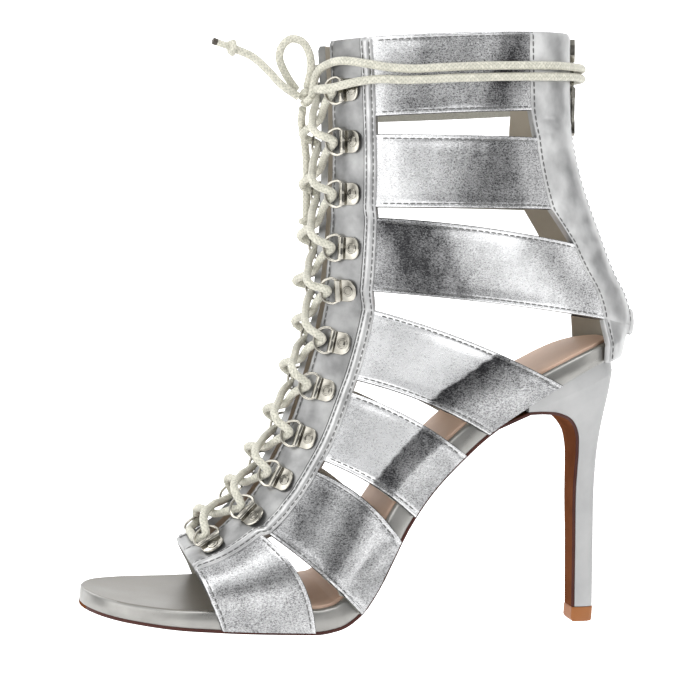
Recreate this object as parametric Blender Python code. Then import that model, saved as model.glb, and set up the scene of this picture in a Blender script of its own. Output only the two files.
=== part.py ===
"""A left lace-up peep toe sandal boot on a high heel.

Wide elastic bands run from a laced eyestay to the edge of the sole, and higher up to a backstay
with a zip. Metres, +Z up, toe at -X, the outer side of the foot at -Y. The origin is the middle
of the flat spot under the forefoot, on the floor.
"""

import math

import bmesh
import bpy
import numpy as np
from mathutils import Matrix, Vector

# Driving dimensions

SOLE_LENGTH = 0.2105
BALL_WIDTH = 0.075
HEEL_HEIGHT = 0.1098
SHAFT_HEIGHT = 0.2385
SHAFT_WIDTH = 0.068

OUTSOLE_THICK = 0.0013
OUTSOLE_INSET = 0.0007
RIM_THICK = 0.0098
RIM_ROUND = 0.0016
TOE_CAP = 0.046
SEAT_CAP = 0.025
INSOLE_THICK = 0.0008
INSOLE_MARGIN = 0.0032
GAP = 0.0003

WALL = 0.0017
EYESTAY_STEP = 0.0008
SEAM_STEP = 0.0014
STEP_RUN = 0.0004
THROAT_HALF = 0.0115
EYESTAY_WIDTH = 0.0150
SEAM_WIDTH = 0.0050
ZIP_SLOT_HALF = 0.0036
RIM_COVER = 0.0130
FOOT_ROUNDNESS = 2.2
SHAFT_ROUNDNESS = 2.1
SHAFT_EGG = 0.10

TIP_HEIGHT = 0.0060
TIP_CHAMFER = 0.0010
BREAST_THICK = 0.0010

ZIP_TAPE_HALF = 0.0046
ZIP_TAPE_THICK = 0.0009
ZIP_TAPE_SINK = 0.0014
ZIP_CHAIN_HALF = 0.0020
ZIP_CHAIN_PROUD = 0.0010
SLIDER_LENGTH = 0.0090
SLIDER_WIDTH = 0.0060
SLIDER_THICK = 0.0028
LINK_WIDTH = 0.0032
LINK_THICK = 0.0010
BARREL_RADIUS = 0.0014
PIN_RADIUS = 0.0005
PULL_LENGTH = 0.0185
PULL_WIDTH = 0.0048
PULL_THICK = 0.0012

RING_REACH = 0.0065
RING_HEIGHT = 0.0110
RING_WIRE = 0.0011
CLIP_PLATE = 0.0075
CLIP_HEIGHT = 0.0088
CLIP_THICK = 0.0008
CLIP_SLEEVE = 0.0026
WIRE_SIDES = 5
RING_TILT = 0.38
RING_ARC = 0.0182
LACE = 0.0032
LACE_BOW = 0.0012

# The middle of the sole's underside, from toe to heel. along and shift are shares of SOLE_LENGTH,
# height is a share of HEEL_HEIGHT and half a share of BALL_WIDTH.
SOLE_ROWS = (
    # along, height, half, shift
    (-0.2920, 0.024, 0.450, 0.016),
    (-0.2140, 0.009, 0.455, 0.014),
    (-0.0950, 0.000, 0.482, 0.007),
    (0.0000, 0.000, 0.500, 0.000),
    (0.1230, 0.000, 0.486, -0.005),
    (0.1700, 0.015, 0.462, -0.007),
    (0.2110, 0.064, 0.430, -0.009),
    (0.2475, 0.160, 0.388, -0.009),
    (0.2710, 0.251, 0.366, -0.008),
    (0.2980, 0.361, 0.347, -0.007),
    (0.3410, 0.490, 0.327, -0.006),
    (0.3930, 0.604, 0.314, -0.005),
    (0.4490, 0.708, 0.311, -0.003),
    (0.5055, 0.789, 0.315, -0.002),
    (0.5860, 0.893, 0.322, -0.001),
    (0.6580, 0.969, 0.325, 0.000),
    (0.7080, 1.000, 0.325, 0.000),
)

# Shares of RIM_THICK along the sole, by share of SOLE_LENGTH.
THICKNESS_ROWS = (
    # along, thick
    (-0.2920, 0.72),
    (-0.1400, 0.80),
    (0.0600, 1.00),
    (0.3500, 1.02),
    (0.5800, 0.92),
    (0.7080, 0.86),
)

# The middle of the throat, from the toe opening to the collar: shares of SOLE_LENGTH and
# SHAFT_HEIGHT.
FRONT_ROWS = (
    # along, height
    (-0.1110, 0.114),
    (-0.0800, 0.127),
    (-0.0205, 0.178),
    (0.0250, 0.240),
    (0.0575, 0.305),
    (0.0820, 0.390),
    (0.0998, 0.471),
    (0.1115, 0.552),
    (0.1170, 0.619),
    (0.1205, 0.694),
    (0.1130, 0.857),
    (0.1010, 0.954),
)

# The middle of the back: shares of SOLE_LENGTH, and of the height from the seat to the collar.
BACK_ROWS = (
    # along, height
    (0.7240, 0.0067),
    (0.7330, 0.0475),
    (0.7405, 0.1031),
    (0.7255, 0.1957),
    (0.7030, 0.2541),
    (0.6555, 0.4116),
    (0.6155, 0.5627),
    (0.5930, 0.6896),
    (0.5825, 0.8360),
    (0.5750, 1.0000),
)

# Edges of the bands that end at the sole. front is a share of the throat line, foot a share of
# SOLE_LENGTH along the sole, bow a share of BALL_WIDTH.
FOOT_RINGS = (
    # front, foot, bow
    (0.0000, -0.049, 0.010),
    (0.1120, 0.122, 0.095),
    (0.1190, 0.212, 0.030),
    (0.2370, 0.288, 0.085),
    (0.2590, 0.311, 0.055),
    (0.3890, 0.405, 0.060),
    (0.4030, 0.445, 0.058),
    (0.5400, 0.582, 0.052),
)

# Edges of the bands that end at the backstay. front and back are shares of the throat line and
# the back line, bow a share of SHAFT_HEIGHT, half a share of SHAFT_WIDTH and stay, the reach of
# the backstay from the middle of the back, a share of SHAFT_WIDTH.
SHAFT_RINGS = (
    # front, back, bow, half, stay
    (0.5560, 0.100, 0.010, 0.420, 0.400),
    (0.6870, 0.335, 0.013, 0.452, 0.455),
    (0.7020, 0.470, 0.002, 0.470, 0.500),
    (0.8330, 0.690, 0.000, 0.482, 0.490),
    (0.8600, 0.775, 0.000, 0.487, 0.490),
    (1.0000, 1.000, 0.000, 0.500, 0.500),
)
HEEL_STAY = 0.375
COUNTER_REACH = 0.040
COUNTER_CLEAR = GAP + WALL + 0.0003

# Sections of the heel from the seat down: the front and back of each, as shares of SOLE_LENGTH
# and HEEL_HEIGHT, and its half width as a share of BALL_WIDTH.
HEEL_ROWS = (
    # front_along, front_height, back_along, back_height, half
    (0.5200, 0.7990, 0.7130, 0.9560, 0.3080),
    (0.5600, 0.8010, 0.7120, 0.9200, 0.2660),
    (0.5960, 0.7925, 0.7100, 0.8740, 0.2130),
    (0.6250, 0.7680, 0.7060, 0.8150, 0.1640),
    (0.6425, 0.7220, 0.7010, 0.7420, 0.1270),
    (0.6495, 0.6600, 0.6975, 0.6650, 0.1030),
    (0.6515, 0.5830, 0.6965, 0.5830, 0.0890),
    (0.6525, 0.5100, 0.6970, 0.5100, 0.0800),
    (0.6600, 0.3000, 0.7030, 0.3000, 0.0690),
)
TIP_FRONT = 0.6680
TIP_BACK = 0.7105
TIP_HALF = 0.0640

# Where the lace loops sit: shares of the throat line.
LOOP_PLACES = (0.046, 0.128, 0.206, 0.286, 0.378, 0.464, 0.556, 0.630, 0.726, 0.820, 0.910)

# Small helpers


def tidy_scene():
    """Removes what the file opens with."""
    for item in list(bpy.data.objects):
        bpy.data.objects.remove(item)


def lerp(a, b, share):
    return a + (b - a) * share


def smooth_table(rows, column, size=1.0, along=SOLE_LENGTH):
    """A smooth function through one column of a table, with no overshoot."""
    xs = np.array([row[0] for row in rows]) * along
    ys = np.array([row[column] for row in rows]) * size
    steps = np.diff(xs)
    slopes = np.diff(ys) / steps
    tangents = np.zeros(len(xs))
    tangents[0] = slopes[0]
    tangents[-1] = slopes[-1]
    for i in range(1, len(xs) - 1):
        if slopes[i - 1] * slopes[i] > 0:
            before = 2 * steps[i] + steps[i - 1]
            after = steps[i] + 2 * steps[i - 1]
            tangents[i] = (before + after) / (before / slopes[i - 1] + after / slopes[i])

    def value(x):
        i = int(np.clip(np.searchsorted(xs, x) - 1, 0, len(steps) - 1))
        h = steps[i]
        t = min(max((x - xs[i]) / h, 0.0), 1.0)
        return float(
            ys[i] * (1 + 2 * t) * (1 - t) ** 2
            + tangents[i] * h * t * (1 - t) ** 2
            + ys[i + 1] * t * t * (3 - 2 * t)
            + tangents[i + 1] * h * t * t * (t - 1)
        )

    return value


class Line:
    """A smooth line through points, read by its share of the whole length."""

    def __init__(self, points, per_span=12):
        points = np.array(points, float)
        spans = np.linalg.norm(np.diff(points, axis=0), axis=1)
        dense = []
        for i in range(len(spans)):
            a = points[i]
            b = points[i + 1]
            leaving = self._tangent(points, spans, i) * spans[i]
            arriving = self._tangent(points, spans, i + 1) * spans[i]
            for t in np.linspace(0, 1, per_span, endpoint=False):
                dense.append(
                    a * (1 + 2 * t) * (1 - t) ** 2
                    + leaving * t * (1 - t) ** 2
                    + b * t * t * (3 - 2 * t)
                    + arriving * t * t * (t - 1)
                )
        dense.append(points[-1])
        self.points = np.array(dense)
        steps = np.linalg.norm(np.diff(self.points, axis=0), axis=1)
        self.along = np.concatenate([[0], np.cumsum(steps)])
        self.length = float(self.along[-1])

    @staticmethod
    def _tangent(points, spans, i):
        if i == 0:
            return (points[1] - points[0]) / spans[0]
        if i == len(points) - 1:
            return (points[-1] - points[-2]) / spans[-1]
        before = (points[i] - points[i - 1]) / spans[i - 1]
        after = (points[i + 1] - points[i]) / spans[i]
        return (before * spans[i] + after * spans[i - 1]) / (spans[i - 1] + spans[i])

    def at(self, distance):
        return np.array(
            [np.interp(distance, self.along, self.points[:, k]) for k in range(self.points.shape[1])]
        )

    def share(self, share):
        return self.at(share * self.length)


def material(name, colour, roughness, metallic=0.0):
    """A plain material with the piece's colour."""
    made = bpy.data.materials.new(name)
    made.use_nodes = True
    shader = made.node_tree.nodes["Principled BSDF"]
    shader.inputs["Base Color"].default_value = (*colour, 1.0)
    shader.inputs["Roughness"].default_value = roughness
    shader.inputs["Metallic"].default_value = metallic
    made.diffuse_color = (*colour, 1.0)
    return made


def add_object(name, mesh, finish):
    """A named object for one piece, shaded smooth between its sharp edges."""
    mesh.name = name
    piece = bpy.data.objects.new(name, mesh)
    bpy.context.scene.collection.objects.link(piece)
    piece.data.materials.clear()
    piece.data.materials.append(finish)
    mesh.shade_smooth()
    mesh.set_sharp_from_angle(angle=math.radians(35))
    return piece


def mesh_from(points, faces, name="shape"):
    """A mesh with its faces turned outwards."""
    mesh = bpy.data.meshes.new(name)
    mesh.from_pydata([tuple(map(float, p)) for p in points], [], faces)
    work = bmesh.new()
    work.from_mesh(mesh)
    bmesh.ops.recalc_face_normals(work, faces=work.faces)
    if work.calc_volume(signed=True) < 0:
        bmesh.ops.reverse_faces(work, faces=work.faces)
    work.to_mesh(mesh)
    work.free()
    return mesh


def loft(loops, name="shape"):
    """Joins closed loops of equal length and closes both ends with strips across each loop."""
    count = len(loops[0])
    points = [p for loop in loops for p in loop]
    faces = []
    for i in range(len(loops) - 1):
        for j in range(count):
            k = (j + 1) % count
            faces.append((i * count + j, i * count + k, (i + 1) * count + k, (i + 1) * count + j))
    for start in (0, (len(loops) - 1) * count):
        for j in range(count // 2 - 1):
            quad = [j, j + 1, count - 2 - j, count - 1 - j]
            faces.append(tuple(start + q for q in dict.fromkeys(quad)))
    return mesh_from(points, faces, name)


def swept(path, radius, sides, name="shape"):
    """A round tube along a path, with flat ends."""
    path = np.array(path, float)
    tangents = np.gradient(path, axis=0)
    tangents /= np.linalg.norm(tangents, axis=1)[:, None]
    side = np.cross(tangents[0], (0.3, 0.2, 0.9))
    side /= np.linalg.norm(side)
    loops = []
    for p, t in zip(path, tangents):
        side = side - t * (side @ t)
        side /= np.linalg.norm(side)
        other = np.cross(t, side)
        turns = [2 * math.pi * j / sides for j in range(sides)]
        loops.append([p + radius * (side * math.cos(a) + other * math.sin(a)) for a in turns])
    return loft(loops, name)


def joined(first, others, name):
    """One closed body from overlapping meshes."""
    base = bpy.data.objects.new(name + "_base", first)
    bpy.context.scene.collection.objects.link(base)
    extras = []
    for i, other in enumerate(others):
        extra = bpy.data.objects.new(f"{name}_extra_{i}", other)
        bpy.context.scene.collection.objects.link(extra)
        cut = base.modifiers.new(f"join_{i}", "BOOLEAN")
        cut.operation = "UNION"
        cut.solver = "EXACT"
        cut.object = extra
        extras.append(extra)
    bpy.context.view_layer.update()
    shown = base.evaluated_get(bpy.context.evaluated_depsgraph_get())
    result = bpy.data.meshes.new_from_object(shown)
    for item in [base, *extras]:
        bpy.data.objects.remove(item)
    return result


def box_mesh(low, high):
    """A rectangular block between two corners."""
    xs, ys, zs = zip(low, high)
    points = [(x, y, z) for x in xs for y in ys for z in zs]
    faces = [(0, 1, 3, 2), (4, 6, 7, 5), (0, 4, 5, 1), (2, 3, 7, 6), (0, 2, 6, 4), (1, 5, 7, 3)]
    return mesh_from(points, faces)


# Sole

SOLE_START = SOLE_ROWS[0][0] * SOLE_LENGTH
SOLE_END = SOLE_ROWS[-1][0] * SOLE_LENGTH
sole_height = smooth_table(SOLE_ROWS, 1, HEEL_HEIGHT)
sole_half = smooth_table(SOLE_ROWS, 2, BALL_WIDTH)
sole_shift = smooth_table(SOLE_ROWS, 3, SOLE_LENGTH)
rim_thick = smooth_table(THICKNESS_ROWS, 1, RIM_THICK)
SEAT_START = HEEL_ROWS[0][0] * SOLE_LENGTH


def cap_share(distance, reach):
    """How wide the sole is near a rounded end, as a share of its full width."""
    left = 1 - min(max(distance / reach, 0.0), 1.0)
    return (1 - left**2.25) ** (1 / 2.25)


def half_width(x):
    """The half width of the sole at x."""
    full = sole_half(x)
    return full * cap_share(x - SOLE_START, TOE_CAP) * cap_share(SOLE_END - x, SEAT_CAP)


def sole_up(x):
    """The direction through the sole's thickness at x: square to it, but upright at the heel."""
    step = 0.0008
    slope = (sole_height(x + step) - sole_height(x - step)) / (2 * step)
    lean = math.atan(slope)
    upright = min(max((x - SEAT_START) / (SOLE_END - SEAT_START), 0.0), 1.0)
    lean *= 1 - upright
    return np.array([-math.sin(lean), 0.0, math.cos(lean)])


def sole_point(x, side, lift):
    """A point of the sole's middle plane, moved sideways by side and up through it by lift."""
    base = np.array([x, sole_shift(x) + side, sole_height(x)])
    return base + sole_up(x) * lift


def sole_stations(start, end, spacing, ease_start=True, ease_end=True):
    """Places along the sole, closer together at its rounded ends."""
    stations = [start]
    easing = (0.0012, 0.0035, 0.0075, 0.0130)
    if ease_start:
        stations += [start + e for e in easing]
    last = end - (easing[-1] if ease_end else 0.0)
    line = np.linspace(stations[-1], last, 400)
    heights = [sole_height(x) for x in line]
    along = np.concatenate([[0], np.cumsum(np.hypot(np.diff(line), np.diff(heights)))])
    count = max(2, round(along[-1] / spacing))
    stations += list(np.interp(np.linspace(0, along[-1], count + 1)[1:], along, line))
    if ease_end:
        stations += [end - e for e in reversed(easing[:-1])] + [end]
    return stations


def sole_layer(name, start, end, low, high, inset, rounding, spacing=0.0075):
    """A layer of the sole between two lifts, with its upper edges rounded."""
    tiny = 0.00012
    loops = []
    for x in sole_stations(start, end, spacing):
        inside = min(max(x, SOLE_START + tiny), SOLE_END - tiny)
        half = half_width(inside) - inset
        half = max(half * start_cap(x, start), 0.0012)
        bottom = low(x) if callable(low) else low
        top = high(x) if callable(high) else high
        r = min(rounding, (top - bottom) * 0.6, half * 0.5)
        outline = [(-half, bottom), (-half, top - r), (-half + 0.3 * r, top - 0.3 * r)]
        outline += [(-half + r, top)]
        outline += [(-a, b) for a, b in reversed(outline)]
        loops.append([sole_point(x, a, b) for a, b in outline])
    return loft(loops, name)


def start_cap(x, start):
    """Rounds the start of a layer that begins behind the toe."""
    if start > SOLE_START + 0.01:
        return 0.25 + 0.75 * cap_share(x - start, 0.012)
    return 1.0


def make_outsole(finish):
    """The thin leather sole, which goes on down the front of the heel."""
    loops = []
    stop = SEAT_START - 0.004
    for x in sole_stations(SOLE_START, stop, 0.0075, ease_end=False):
        inside = max(x, SOLE_START + 0.00012)
        half = max(half_width(inside) - OUTSOLE_INSET, 0.0012)
        corners = [(-half, 0.0), (-half, OUTSOLE_THICK), (half, OUTSOLE_THICK), (half, 0.0)]
        loops.append([sole_point(x, a, b) for a, b in corners])
    fronts = [np.array([r[0] * SOLE_LENGTH, 0.0, r[1] * HEEL_HEIGHT]) for r in HEEL_ROWS]
    halves = [r[4] * BALL_WIDTH for r in HEEL_ROWS]
    fronts.append(np.array([TIP_FRONT * SOLE_LENGTH, 0.0, TIP_HEIGHT + GAP]))
    halves.append(TIP_HALF * BALL_WIDTH)
    line = Line(fronts)
    distances = [float(line.along[i * 12]) for i in range(len(fronts))]
    for d in [0.0012, *distances[1:]]:
        tangent = line.at(min(d + 0.0006, line.length)) - line.at(max(d - 0.0006, 0.0))
        tangent /= np.linalg.norm(tangent)
        outward = np.array([-tangent[2], 0.0, tangent[0]])
        if outward[0] + outward[2] > 0:
            outward = -outward
        half = float(np.interp(d, distances, halves)) - 0.0002
        p = line.at(d)
        inner = p + outward * GAP
        outer = p + outward * (GAP + BREAST_THICK)
        loops.append(
            [
                outer + (0, -half, 0),
                inner + (0, -half, 0),
                inner + (0, half, 0),
                outer + (0, half, 0),
            ]
        )
    return add_object("outsole", loft(loops), finish)


def make_footbed(finish):
    mesh = sole_layer(
        "footbed",
        SOLE_START,
        SOLE_END,
        OUTSOLE_THICK + GAP,
        rim_thick,
        0.0,
        RIM_ROUND,
        0.0090,
    )
    return add_object("footbed", mesh, finish)


def make_insole(finish):
    start = -0.030 * SOLE_LENGTH
    end = SOLE_END - INSOLE_MARGIN

    def low(x):
        return rim_thick(x) + GAP

    def high(x):
        return rim_thick(x) + GAP + INSOLE_THICK

    mesh = sole_layer("insole", start, end, low, high, INSOLE_MARGIN, INSOLE_THICK * 0.5, 0.0095)
    return add_object("insole", mesh, finish)


def d_profile(u):
    """The half width of a heel section, flat in front at u = 0 and round behind at u = 1."""
    return (1 - u**2.5) ** (1 / 2.5)


SECTION_STEPS = (0.0, 0.25, 0.45, 0.62, 0.77, 0.89, 0.97, 0.998)


def d_loop(place, half):
    """A closed heel section from a function of its share from front to back."""
    near = [place(u) - np.array([0, half * d_profile(u), 0]) for u in SECTION_STEPS]
    far = [place(u) + np.array([0, half * d_profile(u), 0]) for u in SECTION_STEPS]
    return near + far[::-1]


def make_heel(finish):
    """The covered heel: a curved seat above, narrowing to the stem."""
    loops = []
    seat_front = SEAT_START + 0.0006
    seat_back = SOLE_END - 0.0004
    seat_half = (HEEL_ROWS[0][4] + 0.004) * BALL_WIDTH

    def seat(u):
        return sole_point(lerp(seat_front, seat_back, u), 0.0, OUTSOLE_THICK)

    loops.append(d_loop(seat, seat_half))
    rows = list(HEEL_ROWS)
    rows.append((TIP_FRONT, (TIP_HEIGHT + GAP) / HEEL_HEIGHT, TIP_BACK, None, TIP_HALF))
    for front_along, front_height, back_along, back_height, half in rows:
        back_height = front_height if back_height is None else back_height
        front = np.array([front_along * SOLE_LENGTH, 0.0, front_height * HEEL_HEIGHT])
        back = np.array([back_along * SOLE_LENGTH, 0.0, back_height * HEEL_HEIGHT])
        loops.append(d_loop(lambda u, a=front, b=back: lerp(a, b, u), half * BALL_WIDTH))
    return add_object("heel", loft(loops), finish)


def make_heel_tip(finish):
    """The hard top piece under the heel."""
    front = TIP_FRONT * SOLE_LENGTH - GAP - BREAST_THICK
    back = TIP_BACK * SOLE_LENGTH + 0.0002
    half = TIP_HALF * BALL_WIDTH + 0.0002
    loops = []
    for height, cut in ((0.0, TIP_CHAMFER), (TIP_CHAMFER * 1.3, 0.0), (TIP_HEIGHT, 0.0)):
        a = np.array([front + cut, 0.0, height])
        b = np.array([back, 0.0, height])
        loops.append(d_loop(lambda u, a=a, b=b: lerp(a, b, u), half))
    return add_object("heel_tip", loft(loops), finish)


# Upper

front_line = Line([(a * SOLE_LENGTH, h * SHAFT_HEIGHT) for a, h in FRONT_ROWS])
back_line = Line([(a * SOLE_LENGTH, lerp(HEEL_HEIGHT, SHAFT_HEIGHT, h)) for a, h in BACK_ROWS])
EYESTAY_ARC = THROAT_HALF + EYESTAY_WIDTH
SEAM_ARC = EYESTAY_ARC + SEAM_WIDTH
SIDE_CLEAR = GAP + WALL
sole_line_xs = np.linspace(SOLE_START, SOLE_END, 160)
sole_line_zs = np.array([sole_height(x) for x in sole_line_xs])


def side_at(x, z, hand):
    """The distance from the middle plane of the sole's side nearest to a point, on one hand."""
    nearest = int(np.argmin((sole_line_xs - x) ** 2 + (sole_line_zs - z) ** 2))
    station = float(sole_line_xs[nearest])
    return half_width(station) + hand * sole_shift(station)


def foot_ring(front, foot, bow, hand, count=60):
    """A dense half ring from the throat line over the foot and down beside the sole's edge."""
    a = front_line.share(front)
    x = foot * SOLE_LENGTH
    b = sole_point(x, 0.0, OUTSOLE_THICK + GAP)[[0, 2]]
    run = b - a
    length = float(np.linalg.norm(run))
    across = np.array([-run[1], run[0]]) / length
    if across[0] + across[1] < 0:
        across = -across
    top_share = 1 - RIM_COVER / length
    width = side_at(b[0], b[1], hand) + SIDE_CLEAR
    ring = []
    for turn in np.linspace(0, math.pi / 2, count):
        fall = 1 - math.cos(turn) ** (2 / FOOT_ROUNDNESS)
        share = fall * top_share
        p = a + run * share + across * bow * BALL_WIDTH * 4 * share * (1 - share)
        wide = lerp(width, side_at(p[0], p[1], hand) + SIDE_CLEAR, share**3)
        ring.append((p[0], hand * wide * math.sin(turn) ** (2 / FOOT_ROUNDNESS), p[1]))
    for share in np.linspace(top_share, 1, 8)[1:]:
        p = a + run * share + across * bow * BALL_WIDTH * 4 * share * (1 - share)
        ring.append((p[0], hand * (side_at(p[0], p[1], hand) + SIDE_CLEAR), p[1]))
    return Line(ring, 1)


def shaft_ring(front, back, bow, half, hand, count=70):
    """A dense half ring round the ankle, from the throat line to the back line."""
    a = front_line.share(front)
    b = back_line.share(back)
    ring = []
    for turn in np.linspace(0, math.pi, count):
        c = math.cos(turn)
        s = math.sin(turn)
        power = 2 / SHAFT_ROUNDNESS
        share = (1 - math.copysign(abs(c) ** power, c)) / 2
        p = a + (b - a) * share
        egg = 1 + SHAFT_EGG * (0.5 - share)
        rise = bow * SHAFT_HEIGHT * 4 * share * (1 - share)
        ring.append((p[0], hand * half * SHAFT_WIDTH * egg * s**power, p[1] + rise))
    return Line(ring, 1)


def heel_ring(hand, lift, count=40):
    """A dense half ring round the back of the rim, from the side to the back, lift above the sole."""
    edge = []
    for share in np.linspace(0, 1, count):
        x = SOLE_END - COUNTER_REACH * (1 - share) ** 2
        edge.append((x, half_width(min(x, SOLE_END - 0.00002))))
    edge.append((SOLE_END, 0.0))
    edge = np.array(edge)
    along = np.gradient(edge, axis=0)
    along /= np.linalg.norm(along, axis=1)[:, None]
    pushed = edge + np.stack([-along[:, 1], along[:, 0]], axis=1) * COUNTER_CLEAR
    pushed[-1] = (SOLE_END + COUNTER_CLEAR, 0.0)
    ring = []
    for (x, _), (out_x, out_y) in zip(edge, pushed):
        ring.append((out_x, hand * max(out_y, 0.0), sole_point(x, 0.0, lift)[2]))
    return Line(ring, 1)


def rows_between(first, second, shares):
    return [tuple(lerp(a, b, s) for a, b in zip(first, second)) for s in shares]


FOOT_SHARES = (0.0, 0.33, 0.67, 1.0)
TOE_SHARES = (0.0, 0.38, 0.70, 1.0)
BAND_SHARES = (0.0, 0.33, 0.67, 1.0)
FOOT_COLUMNS = 8
SHAFT_COLUMNS = 7
EYESTAY_COLUMNS = (
    # distance from the throat line, step above the bands
    (THROAT_HALF, EYESTAY_STEP),
    (THROAT_HALF + EYESTAY_WIDTH * 0.5, EYESTAY_STEP),
    (EYESTAY_ARC - STEP_RUN, EYESTAY_STEP),
    (EYESTAY_ARC, SEAM_STEP),
    (SEAM_ARC - STEP_RUN, SEAM_STEP),
    (SEAM_ARC, 0.0),
)
STAY_SHARES = (0.62, 0.30)
# Where the zip starts in the lowest row of cells and stops in the highest one.
ZIP_FOOT = 0.30
ZIP_HEAD = 0.95


class Grid:
    """Points of the upper's surface with their steps, and the cells that are leather."""

    def __init__(self):
        self.points = []
        self.steps = []
        self.index = {}
        self.cells = []

    def put(self, key, point, step):
        if key not in self.index:
            self.index[key] = len(self.points)
            self.points.append(np.array(point, float))
            self.steps.append(step)
        return self.index[key]

    def cell(self, a, b, c, d, hand):
        """A four sided cell, named so that it faces outwards on the outer side of the foot."""
        corners = tuple(self.index[key] for key in (a, b, c, d))
        self.cells.append(corners if hand < 0 else corners[::-1])


def add_half(grid, hand):
    """One side of the upper."""
    rows = []
    for i in range(0, len(FOOT_RINGS), 2):
        shares = TOE_SHARES if i == 0 else FOOT_SHARES
        for r in rows_between(FOOT_RINGS[i], FOOT_RINGS[i + 1], shares):
            rows.append(("foot", i // 2, r))
    for i in range(0, len(SHAFT_RINGS), 2):
        for r in rows_between(SHAFT_RINGS[i], SHAFT_RINGS[i + 1], BAND_SHARES):
            rows.append(("shaft", len(FOOT_RINGS) // 2 + i // 2, r))

    names = []
    for n, (kind, band, r) in enumerate(rows):
        if kind == "foot":
            ring = foot_ring(*r, hand)
        else:
            ring = shaft_ring(*r[:4], hand)
        columns = []
        for c, (arc, step) in enumerate(EYESTAY_COLUMNS):
            key = (hand, n, "eye", c)
            grid.put(key, ring.at(arc), step)
            columns.append(key)
        if n < 2:
            grid.put((0, n, "mid", 0), ring.at(0.0), EYESTAY_STEP)
            grid.put((hand, n, "mid", 1), ring.at(THROAT_HALF * 0.5), EYESTAY_STEP)
            columns = [(0, n, "mid", 0), (hand, n, "mid", 1), *columns]
        if kind == "foot":
            for c in range(1, FOOT_COLUMNS + 1):
                key = (hand, n, "band", c)
                arc = lerp(SEAM_ARC, ring.length, c / FOOT_COLUMNS)
                grid.put(key, ring.at(arc), 0.0)
                columns.append(key)
        else:
            stay = r[4] * SHAFT_WIDTH
            for c in range(1, SHAFT_COLUMNS + 1):
                key = (hand, n, "band", c)
                arc = lerp(SEAM_ARC, ring.length - stay, c / SHAFT_COLUMNS)
                grid.put(key, ring.at(arc), 0.0)
                columns.append(key)
            reaches = [stay - STEP_RUN] + [stay * s for s in STAY_SHARES] + [ZIP_SLOT_HALF]
            for c, reach in enumerate(reaches):
                key = (hand, n, "stay", c)
                grid.put(key, ring.at(ring.length - reach), EYESTAY_STEP)
                columns.append(key)
        names.append((band, columns))

    for n in range(len(names) - 1):
        band, low = names[n]
        next_band, high = names[n + 1]
        for a, b in zip(low, low[1:]):
            partner_a = (a[0], n + 1, *a[2:])
            partner_b = (b[0], n + 1, *b[2:])
            if partner_a not in high or partner_b not in high:
                continue
            if band == next_band or a[2] == b[2] == "eye" or b[2] == "stay":
                grid.cell(a, b, partner_b, partner_a, hand)

    add_counter(grid, hand, rows)


def add_counter(grid, hand, rows):
    """The foot of the backstay, which wraps the back of the rim below the zip."""
    n = next(i for i, row in enumerate(rows) if row[0] == "shaft")
    ring = shaft_ring(*rows[n][2][:4], hand)
    stay = rows[n][2][4] * SHAFT_WIDTH
    reach = HEEL_STAY * SHAFT_WIDTH
    places = [1.0, 1 - STEP_RUN / stay, *STAY_SHARES, ZIP_SLOT_HALF / stay, 0.0]
    keys = [(hand, n, "band", SHAFT_COLUMNS)] + [(hand, n, "stay", c) for c in range(4)]
    middle = (0, n, "stay", 9)
    grid.put(middle, ring.at(ring.length), EYESTAY_STEP)
    keys.append(middle)
    above = keys
    top = [ring.at(ring.length - p * stay) for p in places]
    rim_top = rim_thick(SOLE_END) + 2 * GAP
    levels = []
    for lift in (rim_top, OUTSOLE_THICK + GAP):
        edge = heel_ring(hand, lift)
        levels.append([edge.at(edge.length - p * reach) for p in places])
    levels.insert(0, [lerp(a, b, 0.5) for a, b in zip(top, levels[0])])
    for level, points in enumerate(levels):
        back = np.interp(points[-1][2], back_line.points[:, 1], back_line.points[:, 0])
        bulge = max(back - points[-1][0], 0.0)
        here = []
        for c, p in enumerate(places):
            key = (0 if c == 5 else hand, -1 - level, "counter", c)
            moved = points[c] + np.array([bulge * (1 - p) ** 2, 0.0, 0.0])
            grid.put(key, moved, 0.0 if c == 0 else EYESTAY_STEP)
            here.append(key)
        for c in range(5):
            grid.cell(here[c], here[c + 1], above[c + 1], above[c], hand)
        above = here


def thicken(grid):
    """Turns the surface into one closed solid with a wall."""
    points = np.array(grid.points)
    normals = np.zeros_like(points)
    for cell in grid.cells:
        a, b, c, d = (points[i] for i in cell)
        for i in cell:
            normals[i] += np.cross(c - a, d - b)
    normals /= np.linalg.norm(normals, axis=1)[:, None]
    outer = points + normals * np.array(grid.steps)[:, None]
    inner = points - normals * WALL
    count = len(points)
    faces = list(grid.cells)
    faces += [tuple(i + count for i in reversed(cell)) for cell in grid.cells]
    edges = {pair for cell in grid.cells for pair in zip(cell, cell[1:] + cell[:1])}
    for a, b in sorted(edges):
        if (b, a) not in edges:
            faces.append((b, a, a + count, b + count))
    return list(outer) + list(inner), faces


def make_upper(finish):
    grid = Grid()
    for hand in (-1, 1):
        add_half(grid, hand)
    points, faces = thicken(grid)
    return add_object("upper", mesh_from(points, faces), finish)


# Zip


def back_frame(share):
    """A point of the back line with the directions out of the shaft and up along it."""
    here = back_line.share(share)
    ahead = back_line.share(min(share + 0.01, 1.0))
    behind = back_line.share(max(share - 0.01, 0.0))
    up = ahead - behind
    up /= np.linalg.norm(up)
    return (
        np.array([here[0], 0.0, here[1]]),
        np.array([up[1], 0.0, -up[0]]),
        np.array([up[0], 0.0, up[1]]),
    )


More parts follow.
